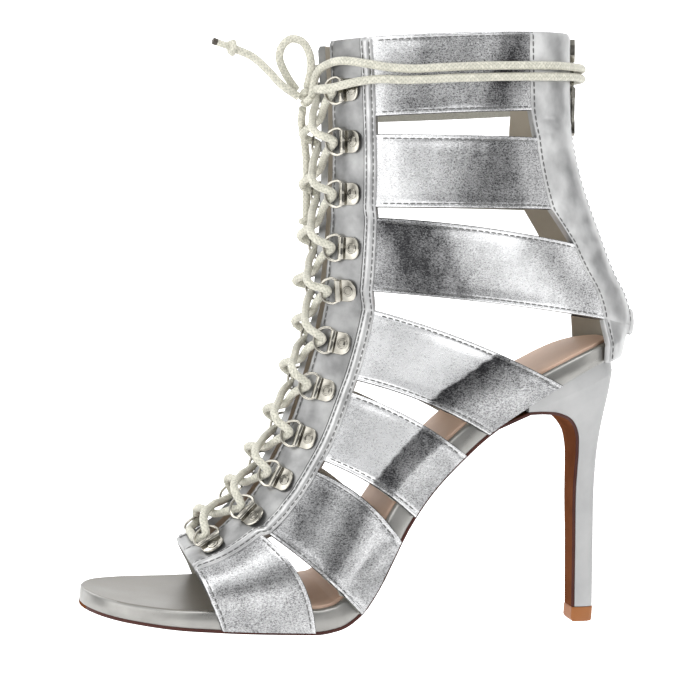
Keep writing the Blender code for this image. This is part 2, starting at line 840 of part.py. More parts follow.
def make_zip(finish):
    """The tape behind the backstay's edges and the chain in its slot."""
    rows = []
    for low, high in zip(SHAFT_RINGS[::2], SHAFT_RINGS[1::2]):
        rows += rows_between(low, high, BAND_SHARES)
    rows[0] = rows_between(rows[0], rows[1], (ZIP_FOOT,))[0]
    rows[-1] = rows_between(rows[-2], rows[-1], (ZIP_HEAD,))[0]
    loops = []
    for row in rows:
        p, out, _ = back_frame(row[1])
        ring = shaft_ring(*row[:4], 1)
        edge = ring.at(ring.length - ZIP_TAPE_HALF)
        inner = float((edge - p) @ out) - WALL - ZIP_TAPE_SINK
        outline = [
            (-ZIP_TAPE_HALF, inner - ZIP_TAPE_THICK),
            (-ZIP_TAPE_HALF, inner),
            (-ZIP_CHAIN_HALF, inner),
            (-ZIP_CHAIN_HALF, ZIP_CHAIN_PROUD),
        ]
        outline += [(-a, b) for a, b in reversed(outline)]
        loops.append([p + out * b + np.array([0, a, 0]) for a, b in outline])
    return add_object("zip", loft(loops), finish)


SLIDER_SHARE = 0.957
PIVOT_SHARE = 0.841
PIVOT_LIFT = ZIP_CHAIN_PROUD + 2 * GAP + BARREL_RADIUS


def place_on_back(mesh, share, lift):
    """Moves a mesh from its own frame, X out and Z up, to the back of the shaft."""
    p, out, up = back_frame(share)
    across = np.cross(up, out)
    turn = Matrix((tuple(out), tuple(across), tuple(up))).transposed().to_4x4()
    mesh.transform(Matrix.Translation(Vector(p + out * lift)) @ turn)
    return mesh


def cylinder_mesh(radius, length, sides=12):
    """A cylinder round the Y axis."""
    loops = []
    for y in (-length / 2, length / 2):
        turns = [2 * math.pi * j / sides for j in range(sides)]
        loops.append([np.array([radius * math.cos(a), y, radius * math.sin(a)]) for a in turns])
    return loft(loops)


def make_slider(finish):
    """The slider on the chain, with a narrow link down to the pull's pin."""
    seat = ZIP_CHAIN_PROUD + GAP
    body = []
    for z, half in ((-0.5, 0.36), (-0.2, 0.5), (0.25, 0.5), (0.5, 0.40)):
        y = SLIDER_WIDTH * half
        outline = [(0.0, -y), (SLIDER_THICK * 0.75, -y), (SLIDER_THICK, -y * 0.6)]
        outline += [(a, -b) for a, b in reversed(outline)]
        body.append([np.array([a, b, z * SLIDER_LENGTH]) for a, b in outline])
    base = place_on_back(loft(body), SLIDER_SHARE, seat)
    path = []
    for share in np.linspace(SLIDER_SHARE, PIVOT_SHARE, 5):
        p, out, _ = back_frame(share)
        path.append((p, out))
    loops = []
    low = PIVOT_LIFT - LINK_THICK / 2
    for p, out in path:
        corners = [(low, -1), (low + LINK_THICK, -1), (low + LINK_THICK, 1), (low, 1)]
        loops.append([p + out * a + np.array([0, b * LINK_WIDTH * 0.5, 0]) for a, b in corners])
    link = loft(loops)
    barrel = place_on_back(cylinder_mesh(BARREL_RADIUS, LINK_WIDTH * 0.75), PIVOT_SHARE, PIVOT_LIFT)
    solid = joined(base, [link, barrel], "zip_slider")
    piece = add_object("zip_slider", solid, finish)
    cutter_mesh = place_on_back(
        cylinder_mesh(PIN_RADIUS + GAP, LINK_WIDTH * 2, 10), PIVOT_SHARE, PIVOT_LIFT
    )
    cutter = bpy.data.objects.new("pin_hole", cutter_mesh)
    bpy.context.scene.collection.objects.link(cutter)
    cutter.hide_render = True
    cutter.display_type = "WIRE"
    hole = piece.modifiers.new("pin_hole", "BOOLEAN")
    hole.operation = "DIFFERENCE"
    hole.solver = "EXACT"
    hole.object = cutter
    return piece


def make_pull(finish):
    """The pull tab: two ears and a pin round the link's barrel, and the tab below."""
    p, out, _ = back_frame(PIVOT_SHARE)
    pivot = p + out * PIVOT_LIFT
    ear_in = LINK_WIDTH * 0.5 + GAP
    ear_out = PULL_WIDTH / 2 + 0.0004
    ear = BARREL_RADIUS * 0.8
    tab_top = -(BARREL_RADIUS + GAP + 0.0004)
    lowest, lower_out, _ = back_frame(PIVOT_SHARE - PULL_LENGTH / back_line.length)
    face = lowest + lower_out * (ZIP_CHAIN_PROUD + GAP + 0.0003 + PULL_THICK / 2)
    lean = math.atan2(face[0] - pivot[0], pivot[2] - face[2])
    pieces = []
    for side in (-1, 1):
        low = (-ear * 0.7, min(side * ear_in, side * ear_out), tab_top - 0.0012)
        high = (ear * 0.7, max(side * ear_in, side * ear_out), ear * 0.8)
        pieces.append(box_mesh(low, high))
    pieces.append(cylinder_mesh(PIN_RADIUS, (ear_in + 0.0003) * 2, 10))
    plate = []
    for z, half in ((tab_top, 0.5), (-0.62, 0.42), (-0.70, 0.5), (-0.94, 0.5), (-1.0, 0.36)):
        height = z if z == tab_top else z * PULL_LENGTH
        y = half * PULL_WIDTH * (1.16 if z == tab_top else 1.0)
        x = PULL_THICK / 2
        corners = [(-x, -y), (x, -y), (x, y), (-x, y)]
        plate.append([np.array([a, b, height]) for a, b in corners])
    solid = joined(loft(plate), pieces, "zip_pull")
    solid.transform(Matrix.Rotation(-lean, 4, "Y"))
    piece = add_object("zip_pull", solid, finish)
    piece.location = pivot
    return piece


# Lace loops


def loop_mesh():
    """A wire ring held in a folded clip, in its own frame: X to the throat, Y up, Z out."""
    wire = RING_WIRE / 2
    height = CLIP_SLEEVE / 2
    half = RING_HEIGHT / 2 - wire
    path = [(0.0, -half), (0.0, 0.0), (0.0, half)]
    for turn in np.radians((72, 36, 0, -36, -72)):
        path.append((0.0012 + (RING_REACH - 0.0012) * math.cos(turn), half * 1.04 * math.sin(turn)))
    path = np.array([(x, y, height + RING_TILT * x) for x, y in path])
    loops = []
    for i, p in enumerate(path):
        tangent = path[(i + 1) % len(path)] - path[i - 1]
        tangent /= np.linalg.norm(tangent)
        other = np.array([0.0, 0.0, 1.0])
        side = np.cross(tangent, other)
        side /= np.linalg.norm(side)
        other = np.cross(side, tangent)
        turns = [2 * math.pi * j / WIRE_SIDES for j in range(WIRE_SIDES)]
        loops.append([p + wire * (side * math.cos(a) + other * math.sin(a)) for a in turns])
    points = [p for loop in loops for p in loop]
    faces = []
    count = len(loops)
    for i in range(count):
        k = (i + 1) % count
        for j in range(WIRE_SIDES):
            m = (j + 1) % WIRE_SIDES
            here, there = i * WIRE_SIDES, k * WIRE_SIDES
            faces.append((here + j, here + m, there + m, there + j))
    ring = mesh_from(points, faces)

    sleeve = []
    for y in (-CLIP_HEIGHT * 0.5, CLIP_HEIGHT * 0.5):
        turns = [2 * math.pi * (j + 0.5) / 6 for j in range(6)]
        radius = CLIP_SLEEVE / 2
        sleeve.append(
            [np.array([radius * math.cos(a), y, height + radius * math.sin(a)]) for a in turns]
        )
    outline = [(0.0, -0.50), (-0.62, -0.50), (-1.0, -0.18)]
    outline += [(x, -y) for x, y in reversed(outline)]
    plate = []
    for z in (0.0002, CLIP_THICK):
        plate.append([np.array([x * CLIP_PLATE, y * CLIP_HEIGHT, z]) for x, y in outline])
    return joined(ring, [loft(sleeve), loft(plate)], "lace_loop")


def upper_ring(front, hand):
    """The upper's half ring that starts at a share of the throat line."""
    tables = [(row, "foot") for row in FOOT_RINGS] + [(row, "shaft") for row in SHAFT_RINGS]
    for (first, kind), (second, next_kind) in zip(tables, tables[1:]):
        if first[0] <= front <= second[0]:
            share = (front - first[0]) / (second[0] - first[0])
            lines = []
            for row, name in ((first, kind), (second, next_kind)):
                lines.append(foot_ring(*row, hand) if name == "foot" else shaft_ring(*row[:4], hand))
            if kind == next_kind:
                row = tuple(lerp(a, b, share) for a, b in zip(first, second))
                one = foot_ring(*row, hand) if kind == "foot" else shaft_ring(*row[:4], hand)
                return lambda arc: one.at(arc)
            return lambda arc: lerp(lines[0].at(arc), lines[1].at(arc), share)
    raise ValueError("the place is off the throat line")


def upper_frame(front, arc, hand):
    """A point of the upper with the directions to the throat, up the eyestay and outwards."""
    ring = upper_ring(front, hand)
    p = ring(arc)
    inward = ring(arc - 0.002) - ring(arc + 0.002)
    inward /= np.linalg.norm(inward)
    low = upper_ring(max(front - 0.012, 0.0), hand)(arc)
    high = upper_ring(min(front + 0.012, 1.0), hand)(arc)
    up = high - low
    out = np.cross(inward, up)
    out /= np.linalg.norm(out)
    if out @ np.array([-0.6, 0.6 * hand, 0.2]) < 0:
        out = -out
    up = np.cross(out, inward)
    if up @ (high - low) < 0:
        up = -up
    return p, inward, up, out


def seat_height(front, hand, p, out):
    """How far the leather under a clip bulges above the plane through p."""
    rise = 0.0
    step = CLIP_HEIGHT * 0.5 / front_line.length
    for shift in (-step, 0.0, step):
        ring = upper_ring(min(max(front + shift, 0.0), 1.0), hand)
        for reach in (-CLIP_SLEEVE * 0.5, 0.0, CLIP_PLATE * 0.5, CLIP_PLATE):
            rise = max(rise, float((ring(RING_ARC + reach) - p) @ out))
    return rise


def make_loops(finish):
    """A row of lace loops up each side of the throat."""
    shared = loop_mesh()
    for hand, side in ((-1, "outer"), (1, "inner")):
        for number, front in enumerate(LOOP_PLACES, 1):
            p, inward, _, out = upper_frame(front, RING_ARC, hand)
            piece = add_object(f"lace_loop_{side}_{number:02d}", shared, finish)
            along = np.cross(out, inward)
            turn = Matrix((tuple(inward), tuple(along), tuple(out))).transposed().to_4x4()
            lift = seat_height(front, hand, p, out) + EYESTAY_STEP + GAP
            piece.matrix_world = Matrix.Translation(Vector(p + out * lift)) @ turn


# Lace

LACE_ARC = RING_ARC - RING_REACH - RING_WIRE / 2 - GAP - LACE / 2
LACE_LIFT = EYESTAY_STEP + GAP + CLIP_SLEEVE / 2


def lace_corner(front, hand):
    """Where the lace turns at a loop."""
    p, _, _, out = upper_frame(front, LACE_ARC, hand)
    return p + out * LACE_LIFT


def zigzag(first_hand, bow):
    """One run of the criss-cross lace, from the toe to the collar."""
    corners = []
    hand = first_hand
    for front in LOOP_PLACES:
        corners.append(lace_corner(front, hand))
        hand = -hand
    path = []
    for a, b in zip(corners, corners[1:]):
        middle = (a + b) / 2
        run = b - a
        out = np.cross(run, (0, 1, 0))
        out /= np.linalg.norm(out)
        if out[0] > 0:
            out = -out
        path += [a, middle + out * bow]
        bow = -bow
    path.append(corners[-1])
    return path


def make_crossings(finish):
    """The lace between the loops: two zigzag runs joined where they cross, and the bar below."""
    one = zigzag(-1, LACE_BOW)
    two = zigzag(1, -LACE_BOW)
    bar = [two[0], lerp(two[0], one[0], 0.5) + np.array([-0.0008, 0, 0.0006])]
    first = swept(bar + one, LACE / 2, 6)
    second = swept(two, LACE / 2, 6)
    return add_object("lace_crossings", joined(first, [second], "lace_crossings"), finish)


def lace_route(points, spacing=2.9):
    """Points along a lace, two to three diameters apart, read from a smooth line."""
    line = Line(points, 10)
    count = max(3, math.ceil(line.length / (spacing * LACE)) + 1)
    return [line.share(s) for s in np.linspace(0, 1, count)]


def cord_object(name, points, finish):
    """A round cord as a curve with filled ends."""
    data = bpy.data.curves.new(name, "CURVE")
    data.dimensions = "3D"
    data.bevel_depth = LACE / 2
    data.bevel_resolution = 2
    data.use_fill_caps = True
    data.resolution_u = 1
    data.render_resolution_u = 0
    spline = data.splines.new("POLY")
    spline.points.add(len(points) - 1)
    for slot, p in zip(spline.points, points):
        slot.co = (*map(float, p), 1.0)
    piece = bpy.data.objects.new(name, data)
    bpy.context.scene.collection.objects.link(piece)
    data.materials.append(finish)
    return piece


def wrap_point(turn, level, lift):
    """A lace point on the shaft: turn 0 is the front, 1 the back by the outer side, 2 the front
    again; level 0 is the lower edge of the top band and 1 its upper edge."""
    hand = -1 if turn <= 1 else 1
    share = turn if turn <= 1 else 2 - turn
    low, high = SHAFT_RINGS[-2], SHAFT_RINGS[-1]
    row = tuple(lerp(a, b, level) for a, b in zip(low, high))
    ring = shaft_ring(*row[:4], hand)
    p = ring.share(share)
    tangent = ring.share(min(share + 0.01, 1.0)) - ring.share(max(share - 0.01, 0.0))
    out = np.array([tangent[1], -tangent[0], 0.0]) * -hand
    out /= np.linalg.norm(out)
    return p + out * (LACE / 2 + GAP + lift)


# Route of each wrap: turn, level and lift above the bands in metres.
WRAP_OUTER = (
    (0.085, 0.36, 0.0064),
    (0.140, 0.37, 0.0058),
    (0.190, 0.42, 0.0040),
    (0.240, 0.45, 0.0022),
    (0.330, 0.43, 0.0006),
    (0.480, 0.43, 0.0005),
    (0.640, 0.43, 0.0008),
    (0.760, 0.43, 0.0014),
    (0.880, 0.44, 0.0020),
    (0.955, 0.44, 0.0040),
    (1.000, 0.44, 0.0046),
    (1.045, 0.44, 0.0040),
    (1.120, 0.44, 0.0020),
    (1.300, 0.44, 0.0010),
    (1.420, 0.47, 0.0036),
    (1.500, 0.55, 0.0044),
    (1.600, 0.62, 0.0020),
    (1.700, 0.68, 0.0008),
    (1.790, 0.72, 0.0022),
    (1.880, 0.71, 0.0018),
    (1.950, 0.62, 0.0025),
)
WRAP_INNER = (
    (1.915, 0.36, 0.0064),
    (1.860, 0.37, 0.0058),
    (1.810, 0.42, 0.0040),
    (1.760, 0.46, 0.0022),
    (1.670, 0.46, 0.0006),
    (1.560, 0.46, 0.0005),
    (1.450, 0.56, 0.0005),
    (1.350, 0.59, 0.0008),
    (1.220, 0.58, 0.0014),
    (1.120, 0.57, 0.0020),
    (1.045, 0.57, 0.0040),
    (1.000, 0.57, 0.0046),
    (0.955, 0.57, 0.0040),
    (0.880, 0.57, 0.0020),
    (0.640, 0.57, 0.0010),
    (0.480, 0.57, 0.0005),
    (0.330, 0.57, 0.0006),
    (0.260, 0.61, 0.0018),
    (0.205, 0.67, 0.0032),
    (0.150, 0.71, 0.0026),
    (0.095, 0.69, 0.0016),
    (0.050, 0.60, 0.0025),
)
KNOT_DROP = 0.0020
KNOT_SIZE = (0.0030, 0.0042, 0.0038)
KNOT_FORWARD = 0.0068
# Where a wrap ends, from the middle of the knot: towards the heel, sideways and up.
WRAP_END = (0.0012, 0.0058, 0.0002)

# The bow's loop and the first end, from the knot, in knot half heights: towards the toe, to the
# outer side and up.
BOW_LOOP = (
    (0.1, 0.5, 0.97),
    (-0.2, 0.8, 3.2),
    (0.4, 0.9, 5.0),
    (1.5, 0.8, 5.9),
    (2.7, 0.6, 5.3),
    (3.1, 0.4, 4.0),
    (2.3, -0.1, 2.3),
    (1.00, -0.36, 0.72),
)
FIRST_END = (
    (0.89, 0.47, -0.05),
    (2.6, 0.65, 0.9),
    (4.5, 0.6, 2.6),
    (6.0, 0.7, 3.7),
    (7.9, 0.9, 4.3),
)
# The second end hangs beside the loops of the inner side: share of the throat line, distance
# from it and lift, both in metres.
SECOND_END = (
    (0.885, 0.0060, 0.0078),
    (0.860, 0.0105, 0.0090),
    (0.820, 0.0130, 0.0086),
    (0.770, 0.0135, 0.0080),
    (0.720, 0.0135, 0.0078),
    (0.680, 0.0135, 0.0080),
)


def knot_centre():
    level = front_line.share(LOOP_PLACES[-1])
    return np.array([level[0] - KNOT_FORWARD, 0.0, level[1] - KNOT_DROP])


def knot_offset(step):
    """A place near the knot from a row of BOW_LOOP or FIRST_END."""
    unit = KNOT_SIZE[2]
    return knot_centre() + np.array([-step[0], -step[1], step[2]]) * unit


def make_knot(finish):
    """The tied knot as one lump with two bulges."""
    rings = []
    for turn in np.linspace(-82, 82, 9):
        a = math.radians(turn)
        pinch = 1 - 0.18 * math.exp(-((turn / 22) ** 2))
        x = KNOT_SIZE[0] * math.cos(a) * pinch
        z = KNOT_SIZE[2] * math.cos(a) * pinch
        y = KNOT_SIZE[1] * math.sin(a)
        turns = [2 * math.pi * j / 12 for j in range(12)]
        rings.append([knot_centre() + (x * math.cos(t), y, z * math.sin(t)) for t in turns])
    return add_object("lace_knot", loft(rings), finish)


def wrap_route(rows, hand):
    """A wrap's points, ending beside the knot."""
    behind, beside, above = WRAP_END
    end = knot_centre() + np.array([behind, hand * beside, above])
    return lace_route([wrap_point(*row) for row in rows] + [end])


def make_lace_ends(finish):
    """The wraps round the shaft, the bow's loop and the two ends."""
    cord_object("lace_wrap_outer", wrap_route(WRAP_OUTER, 1), finish)
    cord_object("lace_wrap_inner", wrap_route(WRAP_INNER, -1), finish)
    loop = lace_route([knot_offset(row) for row in BOW_LOOP], 1.6)
    cord_object("lace_bow_loop", loop, finish)
    cord_object("lace_end_front", lace_route([knot_offset(row) for row in FIRST_END]), finish)
    points = []
    for front, arc, lift in SECOND_END:
        p, _, _, out = upper_frame(front, arc, 1)
        points.append(p + out * lift)
    cord_object("lace_end_inner", lace_route(points), finish)


def build():
    tidy_scene()
    silver_leather = material("silver_leather", (0.60, 0.60, 0.63), 0.28, 0.9)
    rim_leather = material("rim_leather", (0.58, 0.59, 0.59), 0.32, 0.85)
    silver_band = material("silver_band", (0.55, 0.55, 0.56), 0.34, 0.9)
    tan_lining = material("tan_lining", (0.43, 0.22, 0.14), 0.55)
    brown_sole = material("brown_sole", (0.21, 0.06, 0.03), 0.45)
    tip_rubber = material("tip_rubber", (0.46, 0.16, 0.05), 0.5)
    nickel = material("nickel", (0.75, 0.72, 0.66), 0.12, 1.0)
    cord = material("cord", (0.60, 0.58, 0.50), 0.7)

    make_outsole(brown_sole)
    make_footbed(rim_leather)
    make_insole(tan_lining)
    make_heel(silver_leather)
    make_heel_tip(tip_rubber)
    make_upper(silver_band)
    make_zip(nickel)
    make_slider(nickel)
    make_pull(nickel)
    make_loops(nickel)
    make_crossings(cord)
    make_knot(cord)
    make_lace_ends(cord)


build()
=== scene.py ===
# %% [markdown]
# # A left peep toe sandal boot, dressed over its CAD solids
# The shoe is a row of wide silver elastic bands between a laced eyestay in front and a zipped
# backstay behind, on a wrapped footbed and a covered stiletto heel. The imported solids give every
# size and place. This lesson lays the real surfaces over them, piece by piece, and paints each one
# with nodes.

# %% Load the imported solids
import math

import bmesh
import bpy
import numpy as np
from mathutils import Matrix, Vector


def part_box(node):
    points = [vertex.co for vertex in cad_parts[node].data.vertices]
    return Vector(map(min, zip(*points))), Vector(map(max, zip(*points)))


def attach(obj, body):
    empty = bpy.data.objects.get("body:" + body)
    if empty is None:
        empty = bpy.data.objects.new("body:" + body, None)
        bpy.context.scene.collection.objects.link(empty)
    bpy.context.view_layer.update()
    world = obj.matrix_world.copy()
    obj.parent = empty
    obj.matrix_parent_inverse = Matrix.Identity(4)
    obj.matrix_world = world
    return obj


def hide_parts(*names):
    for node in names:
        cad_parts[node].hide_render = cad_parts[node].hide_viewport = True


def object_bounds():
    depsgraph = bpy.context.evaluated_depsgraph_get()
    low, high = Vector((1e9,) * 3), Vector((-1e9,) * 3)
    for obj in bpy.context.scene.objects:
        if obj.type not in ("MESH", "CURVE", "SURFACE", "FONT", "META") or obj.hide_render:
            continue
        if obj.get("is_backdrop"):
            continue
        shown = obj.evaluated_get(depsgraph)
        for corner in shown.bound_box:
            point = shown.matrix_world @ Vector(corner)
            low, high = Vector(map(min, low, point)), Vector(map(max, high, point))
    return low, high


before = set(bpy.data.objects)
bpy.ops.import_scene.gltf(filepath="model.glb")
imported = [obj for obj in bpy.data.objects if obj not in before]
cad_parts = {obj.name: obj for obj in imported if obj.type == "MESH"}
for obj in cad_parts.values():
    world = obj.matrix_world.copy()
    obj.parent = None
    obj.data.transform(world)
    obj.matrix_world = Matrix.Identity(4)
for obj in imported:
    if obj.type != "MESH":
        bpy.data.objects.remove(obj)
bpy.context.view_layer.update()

# %% [markdown]
# ## Camera
# A product photo of a shoe is taken from far away with a long lens, so the shaft keeps its width
# from bottom to top. The camera stands on a ball round the shoe: an angle round it, an angle above
# the floor, a distance, and a small roll, because the photographed shoe leans a little. Building
# the camera's axes by hand keeps the roll exact.

# %% Camera
VIEW_TARGET = Vector((0.0405, 0.0, 0.1075))
VIEW_DISTANCE = 0.72
VIEW_ROUND, VIEW_ABOVE, VIEW_ROLL = math.radians(-12), math.radians(3.7), math.radians(3.5)
FOCAL_PIXELS, PICTURE_PIXELS, SENSOR = 1800, 700, 36

towards = Vector((
    math.sin(VIEW_ROUND) * math.cos(VIEW_ABOVE),
    -math.cos(VIEW_ROUND) * math.cos(VIEW_ABOVE),
    math.sin(VIEW_ABOVE),
))
right = Vector((0, 0, 1)).cross(towards).normalized()
upright = towards.cross(right)
rolled_right = right * math.cos(VIEW_ROLL) + upright * math.sin(VIEW_ROLL)
rolled_up = upright * math.cos(VIEW_ROLL) - right * math.sin(VIEW_ROLL)
camera_data = bpy.data.cameras.new("photo_camera")
camera_data.sensor_width = SENSOR
camera_data.lens = SENSOR * FOCAL_PIXELS / PICTURE_PIXELS
camera = bpy.data.objects.new("photo_camera", camera_data)
bpy.context.scene.collection.objects.link(camera)
turn = Matrix((rolled_right, rolled_up, towards)).transposed().to_4x4()
camera.matrix_world = Matrix.Translation(VIEW_TARGET + towards * VIEW_DISTANCE) @ turn
bpy.context.scene.camera = camera
print("camera lens", round(camera_data.lens, 1), "mm")

# %% [markdown]
# ## Smooth lines
# Almost every piece of a shoe follows a curved line: the throat, the edge of a band, a lace. One
# small class turns a short list of points into a smooth line that is read by distance. Blender's
# own curves could do it too, but a line in plain numbers can also carry widths and normals.

# %% Smooth lines
def lerp(a, b, share):
    return a + (b - a) * share


def distances(points):
    """How far along a row of points each one lies."""
    steps = np.linalg.norm(np.diff(points, axis=0), axis=1)
    return np.concatenate([[0], np.cumsum(steps)])


class Line:
    """A smooth line through points, read by distance or by its share of the length."""

    def __init__(self, points, per_span=12):
        points = np.array(points, float)
        spans = np.linalg.norm(np.diff(points, axis=0), axis=1)
        dense = []
        for i in range(len(spans)):
            a, b = points[i], points[i + 1]
            leaving = self.tangent(points, spans, i) * spans[i]
            arriving = self.tangent(points, spans, i + 1) * spans[i]
            for t in np.linspace(0, 1, per_span, endpoint=False):
                dense.append(
                    a * (1 + 2 * t) * (1 - t) ** 2 + leaving * t * (1 - t) ** 2
                    + b * t * t * (3 - 2 * t) + arriving * t * t * (t - 1)
                )
        dense.append(points[-1])
        self.points = np.array(dense)
        self.along = distances(self.points)
        self.length = float(self.along[-1])

    @staticmethod
    def tangent(points, spans, i):
        if i == 0:
            return (points[1] - points[0]) / spans[0]
        if i == len(points) - 1:
            return (points[-1] - points[-2]) / spans[-1]
        before = (points[i] - points[i - 1]) / spans[i - 1]
        after = (points[i + 1] - points[i]) / spans[i]
        return (before * spans[i] + after * spans[i - 1]) / (spans[i - 1] + spans[i])

    def at(self, distance):
        columns = range(self.points.shape[1])
        return np.array([np.interp(distance, self.along, self.points[:, k]) for k in columns])

    def share(self, share):
        return self.at(share * self.length)

    def many(self, distances):
        columns = range(self.points.shape[1])
        return np.stack([np.interp(distances, self.along, self.points[:, k]) for k in columns], 1)


print("a line over a hump is", round(Line([(0, 0), (1, 1), (2, 0)]).length, 2), "long")

# %% Smooth tables
def smooth_table(rows, column, size, along):
    """A smooth function through one column of a table, with no overshoot."""
    xs = np.array([row[0] for row in rows]) * along
    ys = np.array([row[column] for row in rows]) * size
    steps = np.diff(xs)
    slopes = np.diff(ys) / steps
    tangents = np.zeros(len(xs))
    tangents[0], tangents[-1] = slopes[0], slopes[-1]
    for i in range(1, len(xs) - 1):
        if slopes[i - 1] * slopes[i] > 0:
            before = 2 * steps[i] + steps[i - 1]
            after = steps[i] + 2 * steps[i - 1]
            tangents[i] = (before + after) / (before / slopes[i - 1] + after / slopes[i])

    def value(x):
        i = int(np.clip(np.searchsorted(xs, x) - 1, 0, len(steps) - 1))
        h = steps[i]
        t = min(max((x - xs[i]) / h, 0.0), 1.0)
        return float(
            ys[i] * (1 + 2 * t) * (1 - t) ** 2 + tangents[i] * h * t * (1 - t) ** 2
            + ys[i + 1] * t * t * (3 - 2 * t) + tangents[i + 1] * h * t * t * (t - 1)
        )

    return value


print("halfway up a step", smooth_table(((0, 0), (1, 1)), 1, 1.0, 1.0)(0.5))

# %% [markdown]
# ## The shoe's sizes
# The same named sizes and short tables that shape the solids are repeated here, because a surface
# laid over a solid has to follow the same curves. Everything is in metres: toe at -X, heel at +X,
# the outer side of the left foot at -Y.

# %% Sizes and tables
SOLE_LENGTH, BALL_WIDTH, HEEL_HEIGHT = 0.2105, 0.075, 0.1098
SHAFT_HEIGHT, SHAFT_WIDTH = 0.2385, 0.068
OUTSOLE_THICK, OUTSOLE_INSET, RIM_THICK = 0.0013, 0.0007, 0.0098
TOE_CAP, SEAT_CAP = 0.046, 0.025
INSOLE_THICK, INSOLE_MARGIN, GAP, WALL = 0.0008, 0.0032, 0.0003, 0.0017
EYESTAY_STEP, THROAT_HALF = 0.0008, 0.0115
EYESTAY_WIDTH, SEAM_WIDTH, ZIP_SLOT_HALF, RIM_COVER = 0.0150, 0.0050, 0.0036, 0.0130
FOOT_ROUNDNESS, SHAFT_ROUNDNESS, SHAFT_EGG = 2.2, 2.1, 0.10
EYESTAY_ARC = THROAT_HALF + EYESTAY_WIDTH
SEAM_ARC = EYESTAY_ARC + SEAM_WIDTH

SOLE_ROWS = (
    # along, height, half, shift
    (-0.2920, 0.024, 0.450, 0.016),
    (-0.2140, 0.009, 0.455, 0.014),
    (-0.0950, 0.000, 0.482, 0.007),
    (0.0000, 0.000, 0.500, 0.000),
    (0.1230, 0.000, 0.486, -0.005),
    (0.1700, 0.015, 0.462, -0.007),
    (0.2110, 0.064, 0.430, -0.009),
    (0.2475, 0.160, 0.388, -0.009),
    (0.2710, 0.251, 0.366, -0.008),
    (0.2980, 0.361, 0.347, -0.007),
    (0.3410, 0.490, 0.327, -0.006),
    (0.3930, 0.604, 0.314, -0.005),
    (0.4490, 0.708, 0.311, -0.003),
    (0.5055, 0.789, 0.315, -0.002),
    (0.5860, 0.893, 0.322, -0.001),
    (0.6580, 0.969, 0.325, 0.000),
    (0.7080, 1.000, 0.325, 0.000),
)

THICKNESS_ROWS = (
    # along, thick
    (-0.2920, 0.72),
    (-0.1400, 0.80),
    (0.0600, 1.00),
    (0.3500, 1.02),
    (0.5800, 0.92),
    (0.7080, 0.86),
)

FRONT_ROWS = (
    # along, height
    (-0.1110, 0.114),
    (-0.0800, 0.127),
    (-0.0205, 0.178),
    (0.0250, 0.240),
    (0.0575, 0.305),
    (0.0820, 0.390),
    (0.0998, 0.471),
    (0.1115, 0.552),
    (0.1170, 0.619),
    (0.1205, 0.694),
    (0.1130, 0.857),
    (0.1010, 0.954),
)

BACK_ROWS = (
    # along, height
    (0.7240, 0.0067),
    (0.7330, 0.0475),
    (0.7405, 0.1031),
    (0.7255, 0.1957),
    (0.7030, 0.2541),
    (0.6555, 0.4116),
    (0.6155, 0.5627),
    (0.5930, 0.6896),
    (0.5825, 0.8360),
    (0.5750, 1.0000),
)

FOOT_RINGS = (
    # front, foot, bow
    (0.0000, -0.049, 0.010),
    (0.1120, 0.122, 0.095),
    (0.1190, 0.212, 0.030),
    (0.2370, 0.288, 0.085),
    (0.2590, 0.311, 0.055),
    (0.3890, 0.405, 0.060),
    (0.4030, 0.445, 0.058),
    (0.5400, 0.582, 0.052),
)

SHAFT_RINGS = (
    # front, back, bow, half, stay, wider
    (0.5560, 0.100, 0.010, 0.420, 0.400, 0.000),
    (0.6870, 0.335, 0.013, 0.452, 0.455, 0.030),
    (0.7020, 0.470, 0.002, 0.470, 0.500, 0.052),
    (0.8330, 0.690, 0.000, 0.482, 0.490, 0.052),
    (0.8600, 0.775, 0.000, 0.487, 0.490, 0.080),
    (1.0000, 1.000, 0.000, 0.500, 0.500, 0.088),
)

HEEL_ROWS = (
    # front_along, front_height, back_along, back_height, half
    (0.5200, 0.7990, 0.7130, 0.9560, 0.3080),
    (0.5600, 0.8010, 0.7120, 0.9200, 0.2660),
    (0.5960, 0.7925, 0.7100, 0.8740, 0.2130),
    (0.6250, 0.7680, 0.7060, 0.8150, 0.1640),
    (0.6425, 0.7220, 0.7010, 0.7420, 0.1270),
    (0.6495, 0.6600, 0.6975, 0.6650, 0.1030),
    (0.6515, 0.5830, 0.6965, 0.5830, 0.0890),
    (0.6525, 0.5100, 0.6970, 0.5100, 0.0800),
    (0.6600, 0.3000, 0.7030, 0.3000, 0.0690),
)
TIP_HEIGHT, TIP_FRONT, TIP_BACK, TIP_HALF = 0.0060, 0.6680, 0.7105, 0.0640
print("rows of sizes", len(SOLE_ROWS) + len(FOOT_RINGS) + len(SHAFT_RINGS) + len(HEEL_ROWS))

# %% [markdown]
# ## The sole's curve and the rings of the upper
# The sole is one long curve with a width. The upper is a set of half rings: those of the foot run
# from the throat line down to the sole, those of the shaft run from the throat line round to the
# back. A band is the surface between two such rings, so every piece can ask for a point by its
# place along the throat and its distance from it.

